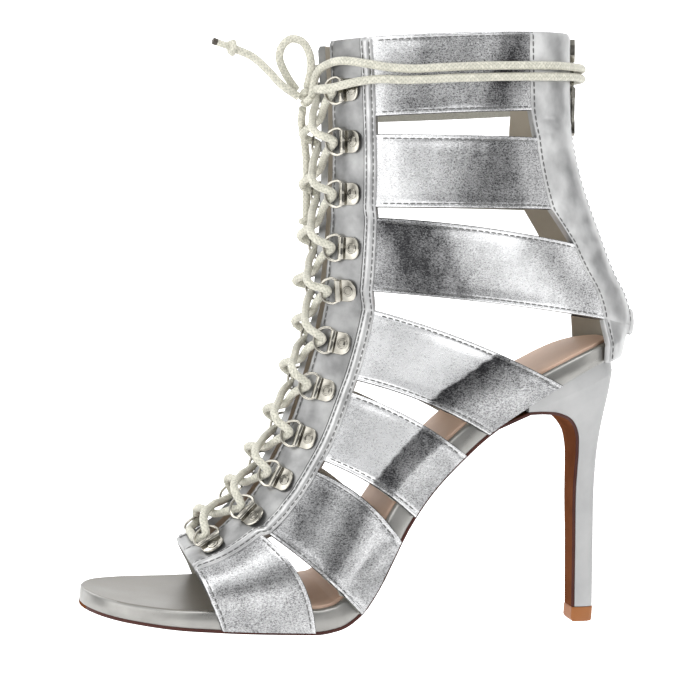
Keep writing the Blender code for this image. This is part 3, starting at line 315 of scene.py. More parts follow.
# %% Curves of the sole, the throat and the back
SOLE_START, SOLE_END = SOLE_ROWS[0][0] * SOLE_LENGTH, SOLE_ROWS[-1][0] * SOLE_LENGTH
SEAT_START = HEEL_ROWS[0][0] * SOLE_LENGTH
SOLE_STATIONS, CAP_POWER, LEAN_STEP = 160, 2.25, 0.0008
sole_height = smooth_table(SOLE_ROWS, 1, HEEL_HEIGHT, SOLE_LENGTH)
sole_half = smooth_table(SOLE_ROWS, 2, BALL_WIDTH, SOLE_LENGTH)
sole_shift = smooth_table(SOLE_ROWS, 3, SOLE_LENGTH, SOLE_LENGTH)
rim_thick = smooth_table(THICKNESS_ROWS, 1, RIM_THICK, SOLE_LENGTH)
front_line = Line([(a * SOLE_LENGTH, h * SHAFT_HEIGHT) for a, h in FRONT_ROWS])
back_line = Line([(a * SOLE_LENGTH, lerp(HEEL_HEIGHT, SHAFT_HEIGHT, h)) for a, h in BACK_ROWS])
sole_line_xs = np.linspace(SOLE_START, SOLE_END, SOLE_STATIONS)
sole_line_zs = np.array([sole_height(x) for x in sole_line_xs])


def cap_share(distance, reach):
    """Half width of a round end, as a share of the full one, at a distance from the end."""
    left = 1 - min(max(distance / reach, 0.0), 1.0)
    return (1 - left**CAP_POWER) ** (1 / CAP_POWER)


def half_width(x):
    return sole_half(x) * cap_share(x - SOLE_START, TOE_CAP) * cap_share(SOLE_END - x, SEAT_CAP)


def sole_up(x):
    """The way up from the sole: square to its curve, and plumb at the end of the seat."""
    rise = sole_height(x + LEAN_STEP) - sole_height(x - LEAN_STEP)
    lean = math.atan(rise / (2 * LEAN_STEP))
    lean *= 1 - min(max((x - SEAT_START) / (SOLE_END - SEAT_START), 0.0), 1.0)
    return np.array([-math.sin(lean), 0.0, math.cos(lean)])


def sole_point(x, side, lift):
    return np.array([x, sole_shift(x) + side, sole_height(x)]) + sole_up(x) * lift


def side_at(x, z, hand):
    """Half width of the sole at its nearest place to a point of the side view."""
    nearest = int(np.argmin((sole_line_xs - x) ** 2 + (sole_line_zs - z) ** 2))
    station = float(sole_line_xs[nearest])
    return half_width(station) + hand * sole_shift(station)


print("throat line", round(front_line.length * 1000), "mm long")

# %% Half rings
FOOT_RING_POINTS, SHAFT_RING_POINTS, WALL_POINTS = 60, 70, 8


def foot_ring(front, foot, bow, hand):
    """A half ring of the foot, from the throat line down to the sole."""
    a = front_line.share(front)
    b = sole_point(foot * SOLE_LENGTH, 0.0, OUTSOLE_THICK + GAP)[[0, 2]]
    run = b - a
    length = float(np.linalg.norm(run))
    across = np.array([-run[1], run[0]]) / length
    if across[0] + across[1] < 0:
        across = -across
    top_share = 1 - RIM_COVER / length
    width = side_at(b[0], b[1], hand) + GAP + WALL
    ring = []
    for turn in np.linspace(0, math.pi / 2, FOOT_RING_POINTS):
        share = (1 - math.cos(turn) ** (2 / FOOT_ROUNDNESS)) * top_share
        p = a + run * share + across * bow * BALL_WIDTH * 4 * share * (1 - share)
        wide = lerp(width, side_at(p[0], p[1], hand) + GAP + WALL, share**3)
        ring.append((p[0], hand * wide * math.sin(turn) ** (2 / FOOT_ROUNDNESS), p[1]))
    for share in np.linspace(top_share, 1, WALL_POINTS)[1:]:
        p = a + run * share + across * bow * BALL_WIDTH * 4 * share * (1 - share)
        ring.append((p[0], hand * (side_at(p[0], p[1], hand) + GAP + WALL), p[1]))
    return Line(ring, 1)


def shaft_ring(front, back, bow, half, hand):
    """A half ring of the shaft, from the throat line round to the middle of the back."""
    a, b = front_line.share(front), back_line.share(back)
    power = 2 / SHAFT_ROUNDNESS
    ring = []
    for turn in np.linspace(0, math.pi, SHAFT_RING_POINTS):
        c, s = math.cos(turn), max(math.sin(turn), 0.0)
        share = (1 - math.copysign(abs(c) ** power, c)) / 2
        p = a + (b - a) * share
        egg = 1 + SHAFT_EGG * (0.5 - share)
        rise = bow * SHAFT_HEIGHT * 4 * share * (1 - share)
        ring.append((p[0], hand * half * SHAFT_WIDTH * egg * s**power, p[1] + rise))
    return Line(ring, 1)


def blend_row(first, second, share):
    return tuple(lerp(a, b, share) for a, b in zip(first, second))


print("lowest ring", round(foot_ring(*FOOT_RINGS[0], 1).length * 1000), "mm long")

# %% Any place on the upper
EDGE_ROWS = [("foot", row) for row in FOOT_RINGS] + [("shaft", row) for row in SHAFT_RINGS]
ARC_STEP, FRONT_STEP = 0.002, 0.012


def ring_of(kind, row, hand):
    return foot_ring(*row, hand) if kind == "foot" else shaft_ring(*row[:4], hand)


def upper_ring(front, hand):
    """The half ring that starts at a share of the throat line, as a function of distance."""
    for (kind, first), (next_kind, second) in zip(EDGE_ROWS, EDGE_ROWS[1:]):
        if first[0] <= front <= second[0]:
            share = (front - first[0]) / (second[0] - first[0])
            if kind == next_kind:
                return ring_of(kind, blend_row(first, second, share), hand).many
            low, high = ring_of(kind, first, hand), ring_of(next_kind, second, hand)
            return lambda arcs: lerp(low.many(arcs), high.many(arcs), share)
    raise ValueError("off the throat line")


def unit(v):
    return v / np.maximum(np.linalg.norm(v, axis=-1, keepdims=True), 1e-12)


def upper_frame(front, arc, hand):
    """A point of the upper, with the ways to the throat, up the eyestay and outwards."""
    before, p, after = upper_ring(front, hand)(np.array([arc - ARC_STEP, arc, arc + ARC_STEP]))
    inward = unit(before - after)
    low = upper_ring(max(front - FRONT_STEP, 0.0), hand)(np.array([arc]))[0]
    high = upper_ring(min(front + FRONT_STEP, 1.0), hand)(np.array([arc]))[0]
    out = unit(np.cross(inward, high - low))
    roughly_out = np.array([-0.6, 0.6 * hand, 0.2])
    if out @ roughly_out < 0:
        out = -out
    up = np.cross(out, inward)
    return p, inward, up if up @ (high - low) > 0 else -up, out


print("band edges", len(EDGE_ROWS))

# %% [markdown]
# ## Node groups for the finishes
# Three effects return on many pieces: the grain of metallic leather, the crinkled foil of the
# bands and the plait of the lace. Each is a shader group that gives only masks and heights, so
# that each material can put its own colours and gloss on them. The grain is worked out from the
# place in the shoe, in bumps a metre, and so has one true scale everywhere.

# %% A small kit for nodes
def new_group(name, inputs, outputs):
    """An empty group with named sockets, and its input and output nodes."""
    made = bpy.data.node_groups.new(name, "ShaderNodeTree")
    for label, kind, value in inputs:
        socket = made.interface.new_socket(label, in_out="INPUT", socket_type=kind)
        if value is not None:
            socket.default_value = value
    for label in outputs:
        made.interface.new_socket(label, in_out="OUTPUT", socket_type="NodeSocketFloat")
    return made, made.nodes.new("NodeGroupInput"), made.nodes.new("NodeGroupOutput")


def calc(tree, kind, a, b=None):
    """A math node fed by sockets or numbers."""
    node = tree.nodes.new("ShaderNodeMath")
    node.operation = kind
    for slot, value in zip(node.inputs, (a, b)):
        if isinstance(value, (int, float)):
            slot.default_value = value
        elif value is not None:
            tree.links.new(value, slot)
    return node.outputs[0]


def remap(tree, value, low, high, new_low=0.0, new_high=1.0):
    """Stretches a value from one range to another, clamped."""
    node = tree.nodes.new("ShaderNodeMapRange")
    for slot, number in zip(list(node.inputs)[1:5], (low, high, new_low, new_high)):
        slot.default_value = number
    tree.links.new(value, node.inputs[0])
    return node.outputs[0]


def noise(tree, vector, scale, detail=2.0, stretch=(1, 1, 1)):
    """A noise in places given in metres; scale is in bumps a metre."""
    mapping = tree.nodes.new("ShaderNodeMapping")
    mapping.inputs["Scale"].default_value = stretch
    tree.links.new(vector, mapping.inputs["Vector"])
    node = tree.nodes.new("ShaderNodeTexNoise")
    node.inputs["Scale"].default_value = scale
    node.inputs["Detail"].default_value = detail
    tree.links.new(mapping.outputs[0], node.inputs["Vector"])
    return node.outputs[0]


def place(tree):
    """The place on the piece, in metres."""
    return tree.nodes.new("ShaderNodeTexCoord").outputs["Object"]


def mixed(tree, mask, dark, light, target):
    """Mixes two colours by a mask and links them to a socket."""
    mix = tree.nodes.new("ShaderNodeMix")
    mix.data_type = "RGBA"
    mix.inputs["A"].default_value = (*dark, 1)
    mix.inputs["B"].default_value = (*light, 1)
    tree.links.new(mask, mix.inputs["Factor"])
    tree.links.new(mix.outputs["Result"], target)


print("node groups so far", len(bpy.data.node_groups))

# %% Leather grain group
GRAIN_SCALE, PORE_SCALE = 2600, 1500


def make_leather_group():
    """Pebbled grain with soft clouds: Height, and Tone for light and dark patches, a random
    mottling that on some pieces also stands in for painted shade and painted reflections.
    """
    tree, given, out = new_group(
        "leather_grain", [("Wear and painted light", "NodeSocketFloat", 0.5), ("Cloud", "NodeSocketFloat", 90.0)],
        ["Height", "Tone", "Gloss"]
    )
    fine = noise(tree, place(tree), GRAIN_SCALE, 3)
    pores = tree.nodes.new("ShaderNodeTexVoronoi")
    pores.inputs["Scale"].default_value = PORE_SCALE
    tree.links.new(place(tree), pores.inputs["Vector"])
    cloud = noise(tree, place(tree), 90, 4)  # the Cloud input takes the place of this scale
    tree.links.new(given.outputs["Cloud"], cloud.node.inputs["Scale"])
    height = calc(tree, "ADD", calc(tree, "MULTIPLY", fine, 0.6),
                  calc(tree, "MULTIPLY", pores.outputs["Distance"], 0.4))
    tree.links.new(height, out.inputs["Height"])
    mottled = remap(tree, cloud, 0.32, 0.68)
    tree.links.new(calc(tree, "MULTIPLY", mottled, given.outputs["Wear and painted light"]), out.inputs["Tone"])
    tree.links.new(calc(tree, "ADD", calc(tree, "MULTIPLY", mottled, 0.5),
                        calc(tree, "MULTIPLY", fine, 0.5)), out.inputs["Gloss"])
    return tree


leather_group = make_leather_group()
print("group", leather_group.name)

# %% Foil group
RIB_SCALE, WEAVE_SCALE, DENT_SCALE = 2300, 3200, 150


def make_foil_group():
    """Foil pressed on elastic: fine ribs and sparkle over painted reflections, a broad sweep of
    light and dark.
    """
    tree, given, out = new_group(
        "foil_grain", [("Ribs", "NodeSocketFloat", 1.0), ("Painted reflection", "NodeSocketFloat", 0.6)],
        ["Height", "Tone", "Gloss"]
    )
    where = place(tree)
    ribs = noise(tree, where, RIB_SCALE, 2, (0.55, 0.7, 1.0))
    weave = noise(tree, where, WEAVE_SCALE, 2)
    cloud = noise(tree, where, DENT_SCALE, 3, (1.0, 1.0, 0.6))
    ribbed = calc(tree, "MULTIPLY", ribs, given.outputs["Ribs"])
    height = calc(tree, "ADD", calc(tree, "MULTIPLY", ribbed, 0.5),
                  calc(tree, "MULTIPLY", weave, 0.5))
    tree.links.new(height, out.inputs["Height"])
    both = calc(tree, "ADD", calc(tree, "MULTIPLY", ribs, 0.5), calc(tree, "MULTIPLY", weave, 0.5))
    speck = remap(tree, both, 0.36, 0.64, -0.5, 0.5)
    sweep = given.outputs["Painted reflection"]
    away = calc(tree, "ABSOLUTE", calc(tree, "SUBTRACT", sweep, 0.5))
    depth = remap(tree, away, 0.0, 0.5, 0.62, 0.26)
    soft = remap(tree, cloud, 0.3, 0.7, -0.10, 0.10)
    tone = calc(tree, "ADD", calc(tree, "ADD", sweep, soft), calc(tree, "MULTIPLY", speck, depth))
    tree.links.new(remap(tree, tone, 0.0, 1.0), out.inputs["Tone"])
    tree.links.new(remap(tree, both, 0.35, 0.65), out.inputs["Gloss"])
    return tree


foil_group = make_foil_group()
print("group", foil_group.name)

# %% Plait group
FUZZ_SCALE, FUZZ_SHARE = 1800, 0.25


def make_plait_group():
    """Two sets of strands that wind round a lace; U runs along it in diameters, V round it."""
    tree, given, out = new_group(
        "lace_plait",
        [("Strands", "NodeSocketFloat", 6.0), ("Pitch", "NodeSocketFloat", 1.9)],
        ["Height", "Tone"],
    )
    uv = tree.nodes.new("ShaderNodeUVMap").outputs[0]
    split = tree.nodes.new("ShaderNodeSeparateXYZ")
    tree.links.new(uv, split.inputs[0])
    along = calc(tree, "MULTIPLY", split.outputs[0], given.outputs["Pitch"])
    round_it = calc(tree, "MULTIPLY", split.outputs[1], given.outputs["Strands"])
    heights, tones = [], []
    for kind in ("ADD", "SUBTRACT"):
        wound = calc(tree, kind, along, round_it)
        bulge = calc(tree, "SINE", calc(tree, "MULTIPLY", calc(tree, "FRACT", wound), math.pi))
        lift = calc(tree, "SINE", calc(tree, "MULTIPLY", along, 2 * math.pi))
        if kind == "SUBTRACT":
            lift = calc(tree, "MULTIPLY", lift, -1.0)
        heights.append(calc(tree, "ADD", bulge, calc(tree, "MULTIPLY", lift, 0.35)))
        random = tree.nodes.new("ShaderNodeTexWhiteNoise")
        random.noise_dimensions = "1D"
        tree.links.new(calc(tree, "FLOOR", wound), random.inputs["W"])
        tones.append(random.outputs["Value"])
    top = calc(tree, "MAXIMUM", *heights)
    over = calc(tree, "GREATER_THAN", *heights)
    under = calc(tree, "SUBTRACT", 1.0, over)
    picked = calc(tree, "ADD", calc(tree, "MULTIPLY", tones[0], over),
                  calc(tree, "MULTIPLY", tones[1], under))
    fuzz = calc(tree, "MULTIPLY", noise(tree, place(tree), FUZZ_SCALE, 3), FUZZ_SHARE)
    tree.links.new(calc(tree, "ADD", top, fuzz), out.inputs["Height"])
    # The tone is darker where the plait lies low, in the grooves between strands: painted shade,
    # with a random tone for each strand on top
    groove_shade_and_strand_tone = calc(tree, "ADD", calc(tree, "MULTIPLY", remap(tree, top, 0.1, 1.0), 0.45),
                 calc(tree, "MULTIPLY", picked, 0.35))
    tree.links.new(calc(tree, "ADD", groove_shade_and_strand_tone, fuzz), out.inputs["Tone"])
    return tree


plait_group = make_plait_group()
print("group", plait_group.name)

# %% [markdown]
# ## Materials
# Every finish is one Principled shader. A group's mask mixes a darker and a lighter colour, a
# second mask moves the roughness, and a Bump node turns the height into grain. The numbers that
# are the same all over a piece, such as how metallic it is, stay on the shader itself. The foil of
# the bands also reads the painted reflections, broad light and dark, that its mesh carries from
# point to point.

# %% Materials
def finish(name, group, dark, light, rough, bump, gloss="Gloss", metallic=0.0, values=(),
           sweep=None, **plain):
    """A material from one group: colours, a range of roughness, and the bump's depth in metres."""
    made = bpy.data.materials.new(name)
    made.use_nodes = True
    tree = made.node_tree
    shader = tree.nodes["Principled BSDF"]
    node = tree.nodes.new("ShaderNodeGroup")
    node.node_tree = group
    for label, value in values:
        node.inputs[label].default_value = value
    # A point attribute brings the painted reflections into the group's tone
    if sweep:
        drawn = tree.nodes.new("ShaderNodeAttribute")
        drawn.attribute_name = sweep
        tree.links.new(drawn.outputs["Fac"], node.inputs["Painted reflection"])
    mixed(tree, node.outputs["Tone"], dark, light, shader.inputs["Base Color"])
    ranged = remap(tree, node.outputs[gloss], 0.0, 1.0, *rough)
    tree.links.new(ranged, shader.inputs["Roughness"])
    bumped = tree.nodes.new("ShaderNodeBump")
    bumped.inputs["Strength"].default_value = 1.0
    bumped.inputs["Distance"].default_value = bump
    tree.links.new(node.outputs["Height"], bumped.inputs["Height"])
    tree.links.new(bumped.outputs[0], shader.inputs["Normal"])
    shader.inputs["Metallic"].default_value = metallic
    for label, value in plain.items():
        shader.inputs[label.replace("_", " ")].default_value = value
    return made


print("groups to choose from", [group.name for group in bpy.data.node_groups])

# %% Finishes of the bands and of the silver leather
FINE_BUMP, LEATHER_BUMP, CLOTH_BUMP = 0.00002, 0.00003, 0.00006
# Turned up to full, the clouds also paint soft shade on the eyestay and the back
WEAR_AND_SHADE = (("Wear and painted light", 1.0),)

# The foil's range from near black to near white is spread by the painted reflections of the sweep
# attribute
band_foil = finish(
    "band_foil", foil_group, (0.028, 0.028, 0.030), (0.88, 0.88, 0.885), (0.22, 0.40), 0.00009,
    metallic=0.9, sweep="sweep")
# A darker copy of the back's silver leather for the eyestay and bridge: painted shade against the
# light from above
shaded_stay_leather = finish(
    "shaded_stay_leather", leather_group, (0.17, 0.17, 0.17), (0.38, 0.38, 0.375), (0.26, 0.40),
    FINE_BUMP, metallic=0.75, values=WEAR_AND_SHADE)
back_leather = finish(
    "back_leather", leather_group, (0.36, 0.36, 0.36), (0.64, 0.64, 0.635), (0.26, 0.40),
    FINE_BUMP, metallic=0.75, values=WEAR_AND_SHADE)
# A darker, less metallic copy of the rim leather for faces that look up: painted shade on the
# footbed's top
footbed_top_shaded = finish(
    "footbed_top_shaded", leather_group, (0.187, 0.174, 0.151), (0.242, 0.226, 0.200), (0.30, 0.44),
    LEATHER_BUMP, metallic=0.4)
rim_leather = finish(
    "rim_leather", leather_group, (0.265, 0.26, 0.245), (0.45, 0.44, 0.42), (0.24, 0.36),
    LEATHER_BUMP, metallic=0.8)
heel_leather = finish(
    "heel_leather", leather_group, (0.36, 0.36, 0.36), (0.49, 0.49, 0.485), (0.36, 0.48),
    FINE_BUMP, metallic=0.6)
print("silver finishes", len(bpy.data.materials))

# %% Finishes of the sole, the linings and the small parts
insole_leather = finish(
    "insole_leather", leather_group, (0.62, 0.42, 0.31), (0.76, 0.56, 0.44), (0.45, 0.62), 0.00004)
sole_leather = finish(
    "sole_leather", leather_group, (0.125, 0.044, 0.019), (0.20, 0.076, 0.034), (0.42, 0.58),
    LEATHER_BUMP, Specular_IOR_Level=0.0)
edge_leather = finish(
    "edge_leather", leather_group, (0.045, 0.010, 0.007), (0.085, 0.024, 0.016), (0.38, 0.52),
    LEATHER_BUMP, Specular_IOR_Level=0.25)
tip_rubber = finish(
    "tip_rubber", leather_group, (0.27, 0.088, 0.016), (0.35, 0.125, 0.027), (0.42, 0.6),
    LEATHER_BUMP)
band_lining = finish(
    "band_lining", foil_group, (0.26, 0.25, 0.21), (0.52, 0.51, 0.46), (0.6, 0.8), CLOTH_BUMP,
    gloss="Tone")
stay_lining = finish(
    "stay_lining", leather_group, (0.34, 0.30, 0.24), (0.46, 0.41, 0.34), (0.5, 0.7),
    LEATHER_BUMP)
# The nickel's wide range from dark to light, spread by the clouds, paints reflections on the rings,
# the teeth and the zip parts
ring_nickel = finish(
    "ring_nickel", leather_group, (0.10, 0.094, 0.078), (0.68, 0.65, 0.575), (0.05, 0.14),
    0.000008, metallic=1.0, values=(("Wear and painted light", 0.9), ("Cloud", 150.0)))
lace_cord = finish(
    "lace_cord", plait_group, (0.25, 0.25, 0.195), (0.76, 0.735, 0.63), (0.65, 0.85), 0.00018,
    gloss="Tone", Sheen_Weight=0.25)
lace_tip = finish(
    "lace_tip", leather_group, (0.05, 0.04, 0.03), (0.10, 0.08, 0.06), (0.35, 0.5), LEATHER_BUMP)
seam_thread = finish(
    "seam_thread", leather_group, (0.09, 0.09, 0.09), (0.20, 0.20, 0.19), (0.45, 0.6), 0.00004,
    Sheen_Weight=0.2)
zip_tape = finish(
    "zip_tape", foil_group, (0.24, 0.24, 0.23), (0.46, 0.46, 0.44), (0.6, 0.8), CLOTH_BUMP,
    gloss="Tone")
print("materials", len(bpy.data.materials))

# %% [markdown]
# ## Meshes with a surface grid
# Leather pieces are thin shells with a turned edge. A grid of points on the upper gets a height at
# every point, and an inner copy one wall below it, and the two are joined all round. That gives
# real thickness, a real lining and clean edges, which a flat sheet with a Solidify modifier would
# not, because the edge has to roll over.

# %% Pieces and meshes
UV_PER_METRE = 5


def add_piece(name, mesh, materials, slot, sharp=40):
    """Puts a mesh in the scene, on the shoe's body and with its finish."""
    mesh.name = name
    for item in materials:
        mesh.materials.append(item)
    mesh.shade_smooth()
    mesh.set_sharp_from_angle(angle=math.radians(sharp))
    piece = bpy.data.objects.new(name, mesh)
    bpy.context.scene.collection.objects.link(piece)
    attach(piece, "shoe")
    return piece


def mesh_of(points, faces, uv, index):
    """A mesh with one UV pair for each point and one material number for each face."""
    mesh = bpy.data.meshes.new("made")
    mesh.from_pydata([tuple(map(float, p)) for p in points], [], [tuple(f) for f in faces])
    layer = mesh.uv_layers.new(name="surface")
    for loop in mesh.loops:
        layer.data[loop.index].uv = tuple(map(float, uv[loop.vertex_index]))
    mesh.polygons.foreach_set("material_index", index)
    return mesh


def run_along(grid, axis):
    """How far each point of a grid lies along its row (axis 1) or down its column (axis 0)."""
    start = grid[:, :1] if axis else grid[:1]
    steps = np.linalg.norm(np.diff(grid, axis=axis, prepend=start), axis=2)
    return np.cumsum(steps, axis=axis)


def grid_normals(grid, outward):
    """Unit normals of a grid of points, turned to the side where outward(points) points."""
    normals = unit(np.cross(np.gradient(grid, axis=1), np.gradient(grid, axis=0)))
    wanted = outward(grid)
    return normals if float(np.sum(normals * wanted)) > 0 else -normals


def away_from_middle(grid):
    """Roughly outwards on the upper: away from a line inside the foot and the shaft."""
    inside = np.stack([np.clip(grid[..., 0], 0.0, 0.08), grid[..., 1] * 0, grid[..., 2]], -1)
    inside[..., 2] -= 0.02 * (grid[..., 0] < 0.05)
    return grid - inside


print("piece helpers ready, CAD nodes", len(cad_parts))

# %% Shells
def shell(grid, normals, lift, depth):
    """Points, faces, UVs and material numbers of a closed shell round a grid."""
    rows, columns = grid.shape[:2]
    outer = (grid + normals * lift[..., None]).reshape(-1, 3)
    inner = (grid - normals * depth).reshape(-1, 3)
    size = rows * columns
    flat = np.stack([run_along(grid, 1), run_along(grid, 0)], -1).reshape(-1, 2) * UV_PER_METRE
    order = np.cross(grid[0, 1] - grid[0, 0], grid[1, 0] - grid[0, 0]) @ normals[0, 0] > 0
    faces, index = [], []
    for i in range(rows - 1):
        for j in range(columns - 1):
            a = i * columns + j
            quad = (a, a + 1, a + columns + 1, a + columns)
            quad = quad if order else quad[::-1]
            faces += [quad, tuple(q + size for q in quad[::-1])]
            index += [0, 1]
    border = [(0, j) for j in range(columns)] + [(i, columns - 1) for i in range(1, rows)]
    border += [(rows - 1, j) for j in range(columns - 2, -1, -1)]
    border += [(i, 0) for i in range(rows - 2, 0, -1)]
    ids = [i * columns + j for i, j in border]
    for a, b in zip(ids, ids[1:] + ids[:1]):
        quad = (b, a, a + size, b + size)
        faces.append(quad if order else quad[::-1])
        index.append(0)
    return np.concatenate([outer, inner]), faces, np.concatenate([flat, flat]), index


def merged(parts):
    """Joins several (points, faces, uv, index) sets into one."""
    points, faces, uvs, index, base = [], [], [], [], 0
    for p, f, u, m in parts:
        points.append(p)
        uvs.append(u)
        faces += [tuple(i + base for i in face) for face in f]
        index += m
        base += len(p)
    return np.concatenate(points), faces, np.concatenate(uvs), index


print("a shell of 2 by 2 points has", len(shell(np.array([[(0, 0, 0), (1, 0, 0)],
                                                          [(0, 1, 0), (1, 1, 0)]], float),
                                                np.array([[(0, 0, 1)] * 2] * 2, float),
                                                np.zeros((2, 2)), 1.0)[1]), "faces")

# %% Tubes
def tube(path, radius, sides=12, blunt=True):
    """A round tube with UVs: U in diameters along it, V once round."""
    path = np.array(path, float)
    tangents = unit(np.gradient(path, axis=0))
    side = unit(np.cross(tangents[0], (0.3, 0.2, 0.9)))
    points, uv = [], []
    turns = np.linspace(0, 2 * math.pi, sides + 1)
    for p, t, d in zip(path, tangents, distances(path)):
        side = unit(side - t * (side @ t))
        other = np.cross(t, side)
        for a in turns:
            points.append(p + radius * (side * math.cos(a) + other * math.sin(a)))
            uv.append((d / (2 * radius), a / (2 * math.pi)))
    ring = sides + 1
    faces = []
    for i in range(len(path) - 1):
        for j in range(sides):
            a = i * ring + j
            faces.append((a, a + 1, a + ring + 1, a + ring))
    bulge = radius * 0.35 if blunt else 0.0
    for row, sign in ((0, -1), (len(path) - 1, 1)):
        start, tip = row * ring, len(points)
        points.append(path[row] + tangents[row] * sign * bulge)
        uv.append(uv[start])
        for j in range(sides):
            cap = (start + j, start + j + 1, tip)
            faces.append(cap if sign > 0 else cap[::-1])
    return np.array(points), faces, np.array(uv), [0] * len(faces)


print("a straight tube has", len(tube([(0, 0, 0), (0, 0, 0.01)], 0.001)[1]), "faces")

# %% [markdown]
# ## The lace first
# The lace is one long braided cord. It is threaded up through the rings, wrapped round the shaft
# and tied in front. The free stretches are made first, with their real lengths, on the very points
# that the solids use. A mesh tube with UVs lets the plait wind at its true pitch, which a plain
# curve would stretch.

# %% Lace routes of the free stretches
LACE, LACE_STEPS = 0.0032, 5

LACE_ROUTES = {
    "lace_wrap_outer": (
        (0.0179, -0.0143, 0.2086), (0.0230, -0.0219, 0.2092), (0.0303, -0.0270, 0.2114),
        (0.0388, -0.0303, 0.2130), (0.0476, -0.0329, 0.2132), (0.0566, -0.0347, 0.2140),
        (0.0657, -0.0358, 0.2151), (0.0749, -0.0359, 0.2160), (0.0840, -0.0350, 0.2170),
        (0.0930, -0.0332, 0.2179), (0.1018, -0.0304, 0.2188), (0.1099, -0.0262, 0.2197),
        (0.1171, -0.0205, 0.2206), (0.1234, -0.0137, 0.2212), (0.1278, -0.0057, 0.2215),
        (0.1284, 0.0034, 0.2215), (0.1248, 0.0118, 0.2213), (0.1188, 0.0188, 0.2208),
        (0.1116, 0.0244, 0.2201), (0.1036, 0.0289, 0.2192), (0.0954, 0.0332, 0.2186),
        (0.0870, 0.0369, 0.2181), (0.0781, 0.0393, 0.2186), (0.0690, 0.0397, 0.2196),
        (0.0601, 0.0375, 0.2200), (0.0512, 0.0348, 0.2203), (0.0426, 0.0316, 0.2205),
        (0.0340, 0.0284, 0.2206), (0.0271, 0.0224, 0.2201), (0.0221, 0.0147, 0.2189),
        (0.0188, 0.0072, 0.2155), (0.0178, 0.0058, 0.2064),
    ),
    "lace_wrap_inner": (
        (0.0179, 0.0143, 0.2086), (0.0230, 0.0219, 0.2092), (0.0303, 0.0269, 0.2114),
        (0.0386, 0.0303, 0.2133), (0.0474, 0.0329, 0.2141), (0.0563, 0.0348, 0.2148),
        (0.0653, 0.0359, 0.2161), (0.0741, 0.0359, 0.2190), (0.0829, 0.0351, 0.2213),
        (0.0918, 0.0335, 0.2227), (0.1006, 0.0307, 0.2236), (0.1088, 0.0267, 0.2241),
        (0.1161, 0.0212, 0.2246), (0.1224, 0.0145, 0.2251), (0.1272, 0.0068, 0.2254),
        (0.1283, -0.0023, 0.2254), (0.1252, -0.0109, 0.2253), (0.1194, -0.0180, 0.2248),
        (0.1125, -0.0240, 0.2242), (0.1046, -0.0287, 0.2234), (0.0962, -0.0323, 0.2225),
        (0.0874, -0.0347, 0.2216), (0.0784, -0.0359, 0.2207), (0.0692, -0.0361, 0.2197),
        (0.0601, -0.0354, 0.2186), (0.0511, -0.0339, 0.2176), (0.0422, -0.0318, 0.2176),
        (0.0335, -0.0289, 0.2186), (0.0266, -0.0231, 0.2195), (0.0224, -0.0150, 0.2188),
        (0.0190, -0.0074, 0.2153), (0.0178, -0.0058, 0.2064),
    ),
    "lace_bow_loop": (
        (0.0163, -0.0019, 0.2099), (0.0172, -0.0026, 0.2145), (0.0173, -0.0031, 0.2192),
        (0.0160, -0.0034, 0.2238), (0.0131, -0.0033, 0.2275), (0.0088, -0.0027, 0.2282),
        (0.0055, -0.0020, 0.2250), (0.0050, -0.0013, 0.2204), (0.0070, 0.0000, 0.2163),
        (0.0097, 0.0008, 0.2125), (0.0128, 0.0014, 0.2090),
    ),
    "lace_end_front": (
        (0.0133, -0.0018, 0.2061), (0.0064, -0.0025, 0.2100), (0.0005, -0.0023, 0.2153),
        (-0.0059, -0.0026, 0.2201), (-0.0134, -0.0034, 0.2226),
    ),
    "lace_end_inner": (
        (0.0169, 0.0075, 0.2023), (0.0178, 0.0135, 0.1972), (0.0199, 0.0162, 0.1901),
        (0.0213, 0.0169, 0.1823), (0.0220, 0.0169, 0.1745), (0.0223, 0.0169, 0.1665),
        (0.0228, 0.0173, 0.1586),
    ),
}


def lace_piece(name, *tubes):
    """One piece of lace from one or more tubes."""
    return add_piece(name, mesh_of(*merged(tubes)), [lace_cord], "cord", sharp=60)


def cord_length(path):
    return float(distances(path)[-1])


print("free stretches", len(LACE_ROUTES))

# %% Lay the free stretches
cord_pieces, cord_paths = {}, {}
for name, points in LACE_ROUTES.items():
    path = cord_paths[name] = Line(points, LACE_STEPS).points
    cord_pieces[name] = lace_piece(name + "_braid", tube(path, LACE / 2))
    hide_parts(name)
    print(name, round(cord_length(path) * 1000), "mm")

# %% [markdown]
# ## End knots and tips
# Each free end carries a small overhand knot that keeps the plait from fraying, and a dark sealed
# tip. The knot is drawn as the lace itself winding twice round its own core, since a plain ball
# would not catch the light on its turns.

# %% End knots and tips
KNOT_PAST, KNOT_TURNS, KNOT_ROUND, KNOT_HALF = 0.0034, 1.9, 0.0018, 0.0013
KNOT_STRAND, TAIL_STRAND, TIP_STRAND = 0.00125, 0.0013, 0.00135


